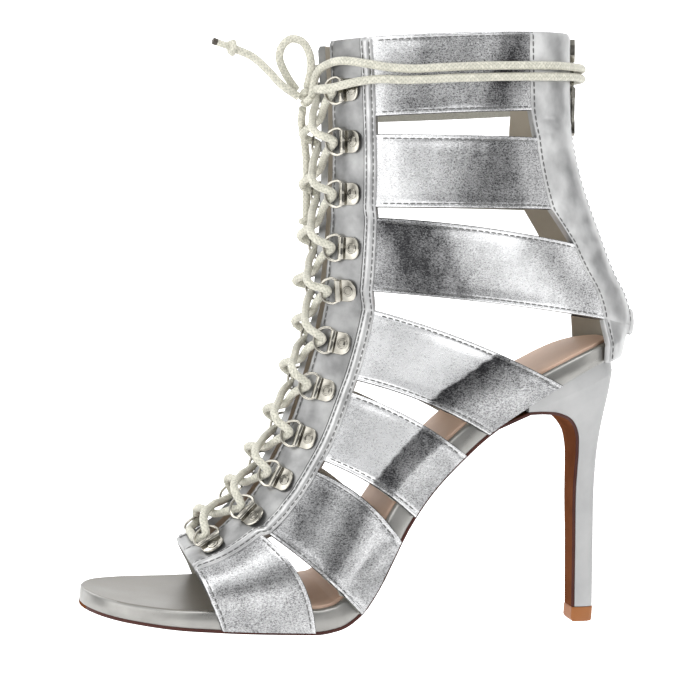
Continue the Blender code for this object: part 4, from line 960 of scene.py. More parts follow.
def end_knot(name, path):
    """A knot at the end of a path with a short tail and a sealed tip beyond it."""
    end = np.array(path[-1])
    ahead = unit(end - np.array(path[-3]))
    side = unit(np.cross(ahead, (0.2, 0.4, 0.9)))
    other = np.cross(ahead, side)
    centre = end + ahead * KNOT_PAST * 0.3
    turns = []
    for t in np.linspace(0, 1, 40):
        a = t * 2 * math.pi * KNOT_TURNS
        r = KNOT_ROUND + 0.0003 * math.sin(a * 0.5)
        turns.append(centre + side * math.cos(a) * r + other * math.sin(a) * r
                     + ahead * lerp(-KNOT_HALF, KNOT_HALF, t) * math.cos(a * 0.5))
    tail = [centre - ahead * 0.001, centre + ahead * 0.002, centre + ahead * 0.0062 + side * 0.0004]
    piece = lace_piece(name + "_knot", tube(turns, KNOT_STRAND, 10),
                       tube(Line(tail, 5).points, TAIL_STRAND, 10))
    seal = [tail[-1] - ahead * 0.0002, tail[-1] + ahead * 0.0006, tail[-1] + ahead * 0.0016]
    sealed = tube(Line(seal, 4).points, TIP_STRAND, 10)
    return [piece, add_piece(name + "_tip", mesh_of(*sealed), [lace_tip], "cord")]


front_end = end_knot("lace_end_front", cord_paths["lace_end_front"])
inner_end = end_knot("lace_end_inner", cord_paths["lace_end_inner"])
print("end knots", len(front_end) + len(inner_end), "pieces")

# %% [markdown]
# ## The tied knot
# In the middle of the bow one turn of the lace is pulled tight over two crossing strands. Three
# short tubes give the same lump with the same folds.

# %% The tied knot
knot_low, knot_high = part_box("lace_knot")
knot_middle = np.array([(a + b) / 2 for a, b in zip(knot_low, knot_high)])
knot_half = np.array([(b - a) / 2 for a, b in zip(knot_low, knot_high)])


def knot_strand(points):
    """A strand of the knot, its route given in half sizes of the knot from its middle."""
    route = [knot_middle + np.array(p) * knot_half for p in points]
    return tube(Line(route, 6).points, PULLED_LACE)


PULLED_LACE = 0.0014
tight_turn = [(-0.55 * math.cos(a) * 1.1, 0.28 * math.sin(a * 0.5) - 0.12, 0.72 * math.sin(a))
              for a in np.linspace(-0.4, 2 * math.pi - 0.7, 12)]
tied_knot = lace_piece(
    "lace_tied_knot",
    knot_strand([(0.5, 1.35, 0.1), (0.1, 0.7, -0.35), (-0.1, 0.0, -0.3), (0.1, -0.7, -0.35),
                 (0.5, -1.35, 0.1)]),
    knot_strand([(0.2, 0.9, 0.75), (-0.1, 0.35, 0.45), (-0.25, 0.0, 0.35), (-0.3, -0.4, 0.5),
                 (-0.1, -0.9, 0.8)]),
    knot_strand(tight_turn))
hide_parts("lace_knot")
print("tied knot", [round(v * 1000, 1) for v in knot_middle], "mm")

print("cords declared", len(cord_pieces))

# %% [markdown]
# ## Lace rings
# A ring is a bent wire D held in a folded clip: a sleeve round the wire and a plate on the leather
# with one rivet. All the rings share one mesh. Polished nickel shows every flat facet, so the wire
# gets fourteen sides and the plate a small bevel.

# %% One lace ring
RING_REACH, RING_HEIGHT, RING_WIRE, RING_TILT = 0.0065, 0.0110, 0.0011, 0.38
RING_ARC = 0.0182
CLIP_PLATE, CLIP_HEIGHT, CLIP_THICK, CLIP_SLEEVE = 0.0075, 0.0088, 0.0008, 0.0026
LOOP_PLACES = (0.046, 0.128, 0.206, 0.286, 0.378, 0.464, 0.556, 0.630, 0.726, 0.820, 0.910)


def closed_tube(path, radius, sides):
    """A ring of wire: its path closes on itself and lies near one plane."""
    count = len(path)
    points, faces = [], []
    for i, p in enumerate(path):
        tangent = unit(path[(i + 1) % count] - path[i - 1])
        side = unit(np.cross(tangent, (-RING_TILT, 0.0, 1.0)))
        other = np.cross(side, tangent)
        for j in range(sides):
            a = 2 * math.pi * j / sides
            points.append(p + radius * (side * math.cos(a) + other * math.sin(a)))
    for i in range(count):
        k = (i + 1) % count
        for j in range(sides):
            m = (j + 1) % sides
            faces.append((i * sides + j, i * sides + m, k * sides + m, k * sides + j))
    return points, faces


def stacked(work, levels):
    """Faces between closed rows of points, one over the other, and over both ends."""
    rows = [[work.verts.new(tuple(p)) for p in level] for level in levels]
    for low, high in zip(rows, rows[1:]):
        for j in range(len(low)):
            m = (j + 1) % len(low)
            work.faces.new([low[j], low[m], high[m], high[j]])
    work.faces.new(rows[0][::-1])
    work.faces.new(rows[-1])


def wire_route():
    """The D of the ring: straight through the sleeve, then round in front of it."""
    half = RING_HEIGHT / 2 - RING_WIRE / 2
    route = [(0.0, y) for y in np.linspace(-half * 0.86, half * 0.86, 5)]
    for a in np.radians(np.linspace(84, -84, 19)):
        route.append((RING_WIRE + (RING_REACH - RING_WIRE) * math.cos(a) ** 0.85,
                      half * 1.04 * math.copysign(abs(math.sin(a)) ** 0.9, a)))
    return [np.array([x, y, CLIP_SLEEVE / 2 + RING_TILT * x]) for x, y in route]


print("wire route", len(wire_route()), "points")

# %% The ring's mesh
WIRE_SIDES, SLEEVE_SIDES, RIVET_SIDES = 14, 20, 24
SLEEVE_PROFILE = (  # share of the height, share of the radius
    (-0.5, 0.80), (-0.485, 0.95), (-0.45, 1.0), (-0.02, 1.0), (0.0, 0.97), (0.02, 1.0),
    (0.45, 1.0), (0.485, 0.95), (0.5, 0.80))
PLATE_PROFILE = (  # height, share of the outline
    (0.0001, 0.97), (0.00012, 1.0), (CLIP_THICK * 0.75, 1.0), (CLIP_THICK * 0.95, 0.97),
    (CLIP_THICK, 0.92))
RIVET_PROFILE = (  # radius, height
    (0.0021, -0.0001), (0.0021, 0.0002), (0.0019, 0.0004), (0.0014, 0.00045),
    (0.0013, 0.00030), (0.0009, 0.00042), (0.0004, 0.00050))


def ring_mesh():
    """Wire, sleeve, plate and rivet in one mesh: X to the throat, Y up, Z out of the leather."""
    work = bmesh.new()
    middle = CLIP_SLEEVE / 2
    points, faces = closed_tube(wire_route(), RING_WIRE / 2, WIRE_SIDES)
    made = [work.verts.new(tuple(p)) for p in points]
    for face in faces:
        work.faces.new([made[i] for i in face])
    turns = [2 * math.pi * j / SLEEVE_SIDES for j in range(SLEEVE_SIDES)]
    stacked(work, [[(middle * r * math.cos(a), y * CLIP_HEIGHT, middle + middle * r * math.sin(a))
                    for a in turns] for y, r in SLEEVE_PROFILE])
    outline = [(0.0, -0.50), (-0.50, -0.50)]
    outline += [(-0.50 - 0.50 * math.sin(a), -0.50 * math.cos(a) ** 0.8)
                for a in np.linspace(0.15, math.pi / 2 - 0.05, 9)]
    outline += [(x, -y) for x, y in reversed(outline)]
    stacked(work, [[(x * CLIP_PLATE * shrink, y * CLIP_HEIGHT * shrink, z) for x, y in outline]
                   for z, shrink in PLATE_PROFILE])
    rivet = Vector((-CLIP_PLATE * 0.56, 0.0, CLIP_THICK))
    turns = np.linspace(0, 2 * math.pi, RIVET_SIDES, endpoint=False)
    stacked(work, [[rivet + Vector((r * math.cos(a), r * math.sin(a), z)) for a in turns]
                   for r, z in RIVET_PROFILE])
    bmesh.ops.recalc_face_normals(work, faces=work.faces)
    mesh = bpy.data.meshes.new("lace_ring")
    work.to_mesh(mesh)
    work.free()
    return mesh


ring_shape = ring_mesh()
ring_shape.materials.append(ring_nickel)
ring_shape.shade_smooth()
ring_shape.set_sharp_from_angle(angle=math.radians(38))
print("one ring", len(ring_shape.polygons), "faces")

# %% Place the rings
def seat_height(front, hand, p, out):
    """How far the leather under a clip bulges above the plane through p."""
    rise, step = 0.0, CLIP_HEIGHT * 0.5 / front_line.length
    arcs = RING_ARC + np.array([-CLIP_SLEEVE * 0.5, 0.0, CLIP_PLATE * 0.5, CLIP_PLATE])
    for shift in (-step, 0.0, step):
        ring = upper_ring(min(max(front + shift, 0.0), 1.0), hand)
        rise = max(rise, float(np.max((ring(arcs) - p) @ out)))
    return rise


for hand, side_name in ((-1, "outer"), (1, "inner")):
    for number, front in enumerate(LOOP_PLACES, 1):
        p, inward, up, out = upper_frame(front, RING_ARC, hand)
        piece = bpy.data.objects.new(f"ring_{side_name}_{number:02d}", ring_shape)
        bpy.context.scene.collection.objects.link(piece)
        lift = seat_height(front, hand, p, out) + EYESTAY_STEP + GAP
        along = np.cross(out, inward)
        turn = Matrix((tuple(inward), tuple(along), tuple(out))).transposed().to_4x4()
        piece.matrix_world = Matrix.Translation(Vector(p + out * lift)) @ turn
        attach(piece, "shoe")
        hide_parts(f"lace_loop_{side_name}_{number:02d}")
print("rings placed", 2 * len(LOOP_PLACES))

# %% [markdown]
# ## Threading the lace
# At every ring the lace slips under the wire, comes up through the ring and goes back over the
# wire to the other side. The two runs pass each other in the middle of the throat, one over and
# one under in turn. Writing the route in the ring's own frame, towards the throat, up and out,
# makes the same three points right at all twenty-two rings.

# %% Thread the lace
UNDER = (0.0078, -0.0030, 0.0014)
THROUGH = (0.0036, 0.0, 0.0026)
OVER = (0.0084, 0.0030, 0.0068)
CROSSING_BOW = 0.0017


def at_ring(front, hand, spot):
    """A lace point in a ring's frame: distance towards the throat, upwards and outwards."""
    p, inward, up, out = upper_frame(front, RING_ARC, hand)
    reach, rise, lift = spot
    return p + inward * reach + up * rise + out * (lift + EYESTAY_STEP)


def lace_run(first_hand, bow):
    """One criss-cross run from the lowest ring to the highest."""
    path, hand = [], first_hand
    for number, front in enumerate(LOOP_PLACES):
        under, through, over = (at_ring(front, hand, spot) for spot in (UNDER, THROUGH, OVER))
        if number:
            run = under - path[-1]
            out = unit(np.cross(run, (0, 1, 0)))
            out = out if out[0] < 0 else -out
            path.append(lerp(path[-1], under, 0.5) + out * bow)
            bow = -bow
        path += [under, through, over]
        hand = -hand
    return path


first_run = lace_run(-1, CROSSING_BOW)
second_run = lace_run(1, -CROSSING_BOW)
bar = lerp(first_run[0], second_run[0], 0.5) + np.array([-0.0010, 0.0, 0.0002])
first_top, second_top = (np.array(LACE_ROUTES[name][0])
                         for name in ("lace_wrap_outer", "lace_wrap_inner"))
whole = [first_top, *first_run[-2::-1], bar, *second_run[:-1], second_top]
threaded = Line(whole, 7).points
threaded_lace = lace_piece("lace_threaded", tube(threaded, LACE / 2))
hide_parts("lace_crossings")
print("threaded lace", round(cord_length(threaded) * 1000), "mm")

# %% [markdown]
# ## Bands
# Each side has seven bands of silver elastic: four that end at the sole and three that end at the
# backstay. A band is a strip with both long edges folded under and held by a row of stitches, so
# its section rises over the fold, dips at the stitches and lies flat between. On the real shoe the
# foil is never quite even, and it mirrors the room in broad patches of light and dark. The shallow
# dents are listed: which band, how far along and across it, how wide and how deep. The patches are
# painted reflections, listed as a few values along each band that go into a point attribute and the
# foil's colour, since no one set of lamps can give every band the tones that it has in the photo;
# the same attribute paints a highlight on the raised folds and shade at the very edges.

# %% Tables of dents and painted reflections
BAND_NAMES = ("vamp", "ball", "waist", "instep", "ankle", "shin", "collar")
DENTS = (
    # band, share along, share across, length along in metres, width across in metres, height
    (0, 0.30, 0.5, 0.012, 0.020, 0.0006), (0, 0.75, 0.4, 0.014, 0.016, -0.0005),
    (1, 0.20, 0.5, 0.014, 0.020, -0.0006), (1, 0.52, 0.6, 0.012, 0.020, 0.0007),
    (1, 0.82, 0.4, 0.010, 0.016, -0.0005), (2, 0.25, 0.5, 0.013, 0.022, -0.0006),
    (2, 0.55, 0.5, 0.012, 0.024, 0.0008), (2, 0.85, 0.5, 0.012, 0.018, -0.0005),
    (3, 0.18, 0.6, 0.012, 0.020, 0.0006), (3, 0.48, 0.5, 0.014, 0.024, -0.0007),
    (3, 0.80, 0.4, 0.013, 0.018, 0.0006), (4, 0.22, 0.5, 0.014, 0.022, 0.0007),
    (4, 0.52, 0.5, 0.015, 0.024, -0.0008), (4, 0.84, 0.5, 0.012, 0.022, 0.0006),
    (5, 0.20, 0.5, 0.012, 0.026, 0.0006), (5, 0.50, 0.5, 0.016, 0.026, -0.0007),
    (5, 0.82, 0.5, 0.012, 0.026, 0.0006), (6, 0.22, 0.5, 0.013, 0.026, -0.0006),
    (6, 0.55, 0.4, 0.014, 0.026, 0.0007), (6, 0.86, 0.5, 0.010, 0.026, -0.0005),
)
PAINTED_REFLECTIONS = (
    # for each band: places along it as shares from the seam, and the painted reflection's
    # brightness there
    ((0.0, 0.14, 0.32, 0.48, 0.62, 0.80, 1.0), (0.62, 0.38, 0.72, 0.32, 0.50, 0.42, 0.45)),
    ((0.0, 0.16, 0.34, 0.55, 0.70, 0.84, 1.0), (0.34, 0.26, 0.56, 0.20, 0.58, 0.62, 0.62)),
    ((0.0, 0.20, 0.44, 0.64, 0.72, 0.82, 1.0), (0.80, 0.88, 1.00, 0.08, 0.16, 0.62, 0.64)),
    ((0.0, 0.22, 0.44, 0.62, 0.70, 0.80, 1.0), (1.00, 1.00, 0.98, 0.04, 0.20, 0.42, 0.46)),
    ((0.0, 0.16, 0.28, 0.42, 0.64, 0.86, 1.0), (0.34, 0.02, 0.14, 0.58, 0.84, 0.42, 0.60)),
    ((0.0, 0.22, 0.40, 0.56, 0.72, 0.86, 1.0), (0.70, 0.74, 0.60, 0.28, 0.20, 0.34, 0.42)),
    ((0.0, 0.14, 0.28, 0.44, 0.58, 0.80, 1.0), (0.70, 0.62, 0.38, 0.52, 0.52, 0.06, 0.36)),
)
# How far each band's painted reflections slant across it
REFLECTION_SLANTS = (0.10, 0.06, -0.10, -0.12, 0.10, -0.06, -0.16)
print("dents", len(DENTS), "patches along", len(PAINTED_REFLECTIONS), "bands")

# %% The section of a band
FOLD, STITCH_IN = 0.0007, 0.0016
FOLD_RISE, STITCH_DIP, DIP_WIDTH = 0.00095, 0.00040, 0.00045
FACE_DROP, DROP_WIDTH = 0.00035, 0.0020
BAND_STATIONS, UNDER_SEAM, UNDER_STAY = 56, 0.0012, 0.0015
INNER_STAY = -0.65


def fold_profile(distance):
    """Height of a folded and stitched edge at a distance from it."""
    turned = np.clip(distance / FOLD, 0, 1)
    rise = FOLD_RISE * np.sqrt(np.clip(1 - (1 - turned) ** 2, 0, 1))
    dip = STITCH_DIP * np.exp(-(((distance - STITCH_IN) / DIP_WIDTH) ** 2))
    settle = FACE_DROP * np.clip((distance - STITCH_IN) / DROP_WIDTH, 0, 1)
    return rise - dip - settle


def stay_reach(row, hand):
    """Reach of the backstay from the middle of the back: wider on the outer side, as it is worn."""
    return (row[4] + row[5] * (1.0 if hand < 0 else INNER_STAY)) * SHAFT_WIDTH


def across_places(width):
    """Places across a strip, close together at its folded edges."""
    near = [0.0, 0.00012, 0.0004, 0.0008, 0.0012, 0.0016, 0.0020, 0.0026, 0.0036]
    near = [d for d in near if d < width * 0.45]
    middle = list(np.linspace(near[-1], width - near[-1], 9))[1:-1]
    return np.array(near + middle + [width - d for d in reversed(near)])


def band_grid(kind, first, second, hand):
    """The band's points and its places across."""
    rough_width = np.linalg.norm(
        ring_of(kind, first, hand).share(0.4) - ring_of(kind, second, hand).share(0.4))
    places = across_places(float(rough_width))
    rows = []
    for d in places:
        row = blend_row(first, second, d / places[-1])
        ring = ring_of(kind, row, hand)
        end = ring.length
        if kind == "shaft":
            end = ring.length - stay_reach(row, hand) + UNDER_STAY
        rows.append(ring.many(np.linspace(SEAM_ARC - UNDER_SEAM, end, BAND_STATIONS)))
    return np.array(rows), places


print("fold height", round(float(fold_profile(FOLD)) * 1000, 2), "mm")

# %% Dents and painted reflections of a band
# Painted shade at the band's very edge and on its side walls, and a painted highlight on the raised
# folds
OPEN_EDGE, EDGE_SHADE, INNER_WALL_SHADE, FOLD_HIGHLIGHT = 0.0003, 0.02, 0.05, 0.35
CALM_EDGE, CALM_END = 0.004, 0.010


def band_lift(number, grid, places):
    """Height of the band's face over the upper's surface."""
    width = places[-1]
    edge = np.minimum(places, width - places)
    lift = np.repeat(fold_profile(edge)[:, None], grid.shape[1], 1)
    along = run_along(grid, 1)
    ends = np.minimum(along, along[:, -1:] - along)
    inside = np.clip(edge[:, None] / CALM_EDGE, 0, 1) * np.clip(ends / CALM_END, 0, 1)
    for band, share, over, length, wide, height in DENTS:
        if band == number:
            a = (along - share * along[:, -1:]) / length
            b = (places[:, None] - over * width) / wide
            lift = lift + height * np.exp(-a * a - b * b) * inside
    return lift


def painted_reflection(number, grid, places):
    """Painted reflections: broad light and dark along a band, slanted a little across it, with a
    painted highlight on the folds and painted shade at the very edge.
    """
    along = run_along(grid, 1)
    across = (places / places[-1])[:, None] - 0.5
    table = Line([(a, v, 0.0) for a, v in zip(*PAINTED_REFLECTIONS[number])]).points
    slanted = np.clip(along / along[:, -1:] + REFLECTION_SLANTS[number] * across, 0, 1)
    edge = np.minimum(places, places[-1] - places)[:, None]
    folded = np.clip(1 - edge / (STITCH_IN * 0.9), 0, 1)
    tone = np.interp(slanted, table[:, 0], table[:, 1]) + FOLD_HIGHLIGHT * folded
    return np.clip(np.where(edge < OPEN_EDGE, EDGE_SHADE, tone), 0.0, 1.0)


print("a dent is at most", max(abs(dent[5]) for dent in DENTS) * 1000, "mm deep")

# %% The bands
surfaces = {}
for number, name in enumerate(BAND_NAMES):
    (kind, first), (_, second) = EDGE_ROWS[2 * number:2 * number + 2]
    for hand, side_name in ((-1, "outer"), (1, "inner")):
        grid, places = band_grid(kind, first, second, hand)
        normals = grid_normals(grid, away_from_middle)
        lift = band_lift(number, grid, places)
        surfaces[number, hand] = (grid, normals, lift, places)
        mesh = mesh_of(*shell(grid, normals, lift, WALL * 0.75))
        # The sweep attribute carries the painted reflections of the outer face; the inner points
        # keep a dark value that paints shade on the band's side walls
        sweep = np.full(len(mesh.vertices), INNER_WALL_SHADE)
        tones = painted_reflection(number, grid, places).ravel()
        sweep[:len(tones)] = tones
        mesh.attributes.new("sweep", "FLOAT", "POINT").data.foreach_set("value", sweep)
        add_piece(f"band_{name}_{side_name}", mesh, [band_foil, band_lining], "silver_band",
                  sharp=50)
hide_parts("upper")
print("bands", len(surfaces))

# %% [markdown]
# ## Eyestay and raised seam
# A smooth leather strip runs up each side of the throat. Its inner edge is folded and stitched,
# and at its outer edge a narrow raised strip covers the ends of the bands, with a row of stitches
# along each of its sides. It is one grid from the toe to the collar, so the strip stays whole
# where the bands are apart. A short bridge joins both sides over the toes.

# %% The section of the eyestay
WAVE_HEIGHT, LEATHER_LIFT, FLAT_LIFT, TOUCHING = 0.00022, 0.0004, 0.0010, 1e-9
SEAM_FOOT, SEAM_CROWN, SEAM_STITCH = 0.0006, 0.0016, 0.0011
SEAM_DIP, SEAM_DIP_WIDTH = 0.00038, 0.00035
ROUND_END = 0.0006


def soft_waves(along, across):
    """Shallow uneven waves, as in leather that has been worn: along and across in metres."""
    first = np.sin(along * 330 + across * 120 + 0.6) * np.sin(along * 141 + 1.9)
    second = np.sin(along * 520 - across * 260 + 2.2) * 0.5
    return WAVE_HEIGHT * (first + second)


def rounded_ends(lift, to_end):
    """Brings the rows of a lift down at the ends of a strip: to_end is each row's distance."""
    return lift * np.clip(to_end / ROUND_END, 0.15, 1)[:, None] ** 0.5


def stay_profile(arc):
    """Height of the eyestay and its raised seam at a distance from the throat line."""
    inner_edge = fold_profile(arc - THROAT_HALF + 0.0003) + LEATHER_LIFT
    flat = np.where(arc < THROAT_HALF + 0.004, inner_edge, FLAT_LIFT)
    seam_at = arc - EYESTAY_ARC
    crown = np.clip(1 - ((seam_at - SEAM_WIDTH / 2) / (SEAM_WIDTH / 2)) ** 2, 0, 1) ** 0.35
    seam = SEAM_FOOT + SEAM_CROWN * crown
    for stitch in (SEAM_STITCH, SEAM_WIDTH - SEAM_STITCH):
        seam = seam - SEAM_DIP * np.exp(-(((seam_at - stitch) / SEAM_DIP_WIDTH) ** 2))
    return np.where((seam_at >= -TOUCHING) & (seam_at <= SEAM_WIDTH + TOUCHING), seam, flat)


print("seam stands", round(float(stay_profile(EYESTAY_ARC + SEAM_WIDTH / 2)) * 1000, 1), "mm high")

# %% Eyestay

STAY_PIECE = {"slot": "silver_leather", "sharp": 50}
stay_arcs = np.array(
    [THROAT_HALF + d for d in (0.0, 0.0002, 0.0006, 0.0010, 0.0014, 0.0018, 0.0024, 0.0034, 0.0060,
                               0.0090, 0.0120, 0.0142, 0.01485)]
    + [EYESTAY_ARC + d for d in (0.0, 0.0002, 0.0005, 0.0008, 0.0011, 0.0014, 0.0019, 0.0025,
                                 0.0031, 0.0036, 0.0039, 0.0042, 0.0045, 0.0048, 0.0050)])
stay_fronts = np.linspace(0.0, 1.0, 130)
stay_grids = {}
for hand, side_name in ((-1, "outer"), (1, "inner")):
    grid = np.array([upper_ring(front, hand)(stay_arcs) for front in stay_fronts])
    normals = grid_normals(grid, away_from_middle)
    lift = np.repeat(stay_profile(stay_arcs)[None, :], len(grid), 0)
    worn = np.clip((stay_arcs - THROAT_HALF - 0.002) / 0.003, 0, 1)
    worn *= np.clip((EYESTAY_ARC - 0.0004 - stay_arcs) / 0.002, 0, 1)
    lift = lift + worn * soft_waves(stay_fronts[:, None] * front_line.length, stay_arcs)
    lift = rounded_ends(lift, np.minimum(stay_fronts, 1 - stay_fronts) * front_line.length)
    stay_grids[hand] = (grid, normals, lift)
    mesh = mesh_of(*shell(grid, normals, lift, WALL))
    # The raised seam strip takes the lighter back leather, the rest of the eyestay the darker copy
    # with its painted shade
    seam_columns = np.flatnonzero(stay_arcs[:-1] >= EYESTAY_ARC - TOUCHING)
    for row in range(len(stay_fronts) - 1):
        for column in seam_columns:
            mesh.polygons[2 * (row * (len(stay_arcs) - 1) + int(column))].material_index = 2
    add_piece(f"eyestay_{side_name}", mesh, [shaded_stay_leather, stay_lining, back_leather],
              **STAY_PIECE)
print("eyestay rows", len(stay_fronts), "columns", len(stay_arcs))

# %% Bridge over the toes
BRIDGE_END, BRIDGE_LIFT = 0.0430, 0.0001
bridge_arcs = np.linspace(0, THROAT_HALF + 0.0004, 9)
bridge_fronts = np.array([0.0, 0.0012, 0.004, 0.008, 0.012, 0.018, 0.025, 0.033, 0.039, 0.0418,
                          BRIDGE_END])
sides = [np.array([upper_ring(f, hand)(bridge_arcs) for f in bridge_fronts]) for hand in (-1, 1)]
bridge = np.concatenate([sides[0][:, ::-1], sides[1][:, 1:]], axis=1)
to_end = np.minimum(bridge_fronts, BRIDGE_END - bridge_fronts) * front_line.length
bridge_lift = np.repeat(fold_profile(to_end)[:, None] + BRIDGE_LIFT, bridge.shape[1], 1)
add_piece("toe_bridge",
          mesh_of(*shell(bridge, grid_normals(bridge, away_from_middle), bridge_lift, WALL)),
          [shaded_stay_leather, stay_lining], **STAY_PIECE)
print("bridge", bridge.shape[:2], "points")

# %% [markdown]
# ## Backstay and counter
# The same smooth leather covers the back. Its front edge is stitched over the ends of the ankle
# bands, its back edge frames the zip, and below the zip it closes and wraps down round the rim.

# %% Backstay
def shaft_row(t):
    """A row of the shaft's table at place t, counted in rows."""
    i = min(int(t), len(SHAFT_RINGS) - 2)
    return blend_row(SHAFT_RINGS[i], SHAFT_RINGS[i + 1], t - i)


EDGE_PLACES = (0.0, 0.0003, 0.0007, 0.0011, 0.0015, 0.0020, 0.0028)
back_grids = {}
for hand, side_name in ((-1, "outer"), (1, "inner")):
    rows, lifts = [], []
    for t in np.linspace(0, len(SHAFT_RINGS) - 1, 90):
        row = shaft_row(t)
        ring, stay = shaft_ring(*row[:4], hand), stay_reach(row, hand)
        span = stay - ZIP_SLOT_HALF
        middle = np.linspace(EDGE_PLACES[-1], span - EDGE_PLACES[-1], 8)[1:-1]
        steps = np.array([*EDGE_PLACES, *middle, *(span - d for d in reversed(EDGE_PLACES))])
        reaches = stay - steps
        rows.append(ring.many(ring.length - reaches))
        to_edge = np.minimum(reaches - ZIP_SLOT_HALF, stay - reaches)
        folds = np.minimum(fold_profile(stay - reaches), fold_profile(reaches - ZIP_SLOT_HALF))
        waves = soft_waves(back_line.length * t / 5 + 0.03 * hand, reaches)
        lifts.append(folds + LEATHER_LIFT + np.clip(to_edge / 0.005 - 0.5, 0, 1) * waves)
    grid = np.array(rows)
    normals = grid_normals(grid, away_from_middle)
    lift = rounded_ends(np.array(lifts), np.linspace(1, 0, len(grid)) * back_line.length)
    back_grids[hand] = (grid, normals, lift)
    add_piece(f"backstay_{side_name}", mesh_of(*shell(grid, normals, lift, WALL)),
              [back_leather, stay_lining], **STAY_PIECE)
print("backstay", grid.shape[:2], "points a side")

# %% Counter
HEEL_REACH = 0.375 * SHAFT_WIDTH
COUNTER_REACH, COUNTER_CLEAR, HEEL_RING_POINTS = 0.040, GAP + WALL + 0.0003, 60
INSIDE_END = 0.00002


def heel_ring(hand, lift):
    """A dense half ring round the back of the rim, lift above the sole."""
    xs = SOLE_END - COUNTER_REACH * (1 - np.linspace(0, 1, HEEL_RING_POINTS)) ** 2
    edge = np.array([(x, half_width(min(x, SOLE_END - INSIDE_END))) for x in xs]
                    + [(SOLE_END, 0.0)])
    along = unit(np.gradient(edge, axis=0))
    pushed = edge + np.stack([-along[:, 1], along[:, 0]], axis=1) * COUNTER_CLEAR
    pushed[-1] = (SOLE_END + COUNTER_CLEAR, 0.0)
    return Line([(px, hand * max(py, 0.0), sole_point(x, 0.0, lift)[2])
                 for (x, _), (px, py) in zip(edge, pushed)], 1)


def counter_side(hand, places):
    """Rows of one side of the counter from the zip's foot to the bottom of the rim."""
    row = shaft_row(0.0)
    ring, stay = shaft_ring(*row[:4], hand), stay_reach(row, hand)
    top = ring.many(ring.length - places * stay)
    rim_top = rim_thick(SOLE_END) + 2 * GAP
    edges = []
    for lift in (rim_top, OUTSOLE_THICK + GAP):
        edge = heel_ring(hand, lift)
        edges.append(edge.many(edge.length - places * HEEL_REACH))
    rows = [lerp(top, edges[0], s) for s in np.linspace(0, 1, 9)]
    rows += [lerp(edges[0], edges[1], s) for s in (0.12, 0.3, 0.5, 0.7, 0.85, 0.93, 0.97, 1.0)]
    moved = []
    for points in rows:
        points = points.copy()
        back = np.interp(points[-1][2], back_line.points[:, 1], back_line.points[:, 0])
        points[:, 0] += max(back - points[-1][0], 0.0) * (1 - places) ** 2
        moved.append(points)
    return np.array(moved)


counter_places = np.array([1.0, 0.99, 0.97, 0.95, 0.93, 0.91, 0.87, *np.linspace(0.8, 0, 12)])
halves = [counter_side(hand, counter_places) for hand in (-1, 1)]
counter = np.concatenate([halves[0], halves[1][:, ::-1][:, 1:]], axis=1)
counter_reach = np.array([*counter_places, *counter_places[::-1][1:]]) * HEEL_REACH
side_edge = fold_profile(HEEL_REACH - counter_reach) + LEATHER_LIFT
fading = np.array([1.0] * 14 + [0.9, 0.7, 0.2])
counter_lift = side_edge[None, :] * fading[:, None]
counter_normals = grid_normals(counter, away_from_middle)
add_piece("counter", mesh_of(*shell(counter, counter_normals, counter_lift, WALL)),
          [back_leather, stay_lining], **STAY_PIECE)
print("counter", counter.shape[:2], "points")

# %% [markdown]
# ## Stitches
# A stitch is a small thread pill that dips into the leather at both ends. Hundreds of them stand
# along the folds, so they are laid out in rows from the same grids and joined into one mesh for
# each kind of piece. A painted dashed line would lose its shadow, and separate objects would be
# far too many.

# %% Stitches
STITCH_PITCH, STITCH_LONG, STITCH_THICK, THREAD_SIDES = 0.0026, 0.0019, 0.00026, 5
STITCH_PROFILE = (  # share along the stitch, height over the leather
    (0.0, -0.00022), (0.14, 0.00008), (0.5, 0.00016), (0.86, 0.00008), (1.0, -0.00022))
FOLD_COLUMN = 4


def stitch_row(points, normals):
    """Thread pills along a line of surface points."""
    steps = distances(points)
    parts = []
    for start in np.arange(STITCH_PITCH * 0.5, steps[-1] - STITCH_LONG, STITCH_PITCH):
        path = []
        for share, sink in STITCH_PROFILE:
            d = start + share * STITCH_LONG
            p = np.array([np.interp(d, steps, points[:, k]) for k in range(3)])
            n = unit(np.array([np.interp(d, steps, normals[:, k]) for k in range(3)]))
            path.append(p + n * sink)
        parts.append(tube(path, STITCH_THICK, THREAD_SIDES, blunt=False))
    return parts


def stitched_columns(grid, normals, lift):
    """Stitches down both folded sides of a grid."""
    face = grid + normals * lift[..., None]
    parts = []
    for column in (FOLD_COLUMN, grid.shape[1] - 1 - FOLD_COLUMN):
        parts += stitch_row(face[:, column], normals[:, column])
    return parts


def row_on(grid, normals, lift, places, distance):
    """The line at a distance across a grid, on its raised face."""
    face = grid + normals * lift[..., None]
    k = int(np.clip(np.searchsorted(places, distance), 1, len(places) - 1))
    share = (distance - places[k - 1]) / (places[k] - places[k - 1])
    return lerp(face[k - 1], face[k], share), unit(lerp(normals[k - 1], normals[k], share))


parts = []
for grid, normals, lift, places in surfaces.values():
    for distance in (STITCH_IN, places[-1] - STITCH_IN):
        line, up = row_on(grid, normals, lift, places, distance)
        parts += stitch_row(line[2:-2], up[2:-2])
add_piece("stitches_bands", mesh_of(*merged(parts)), [seam_thread], "silver_band")
print("band stitches", len(parts))

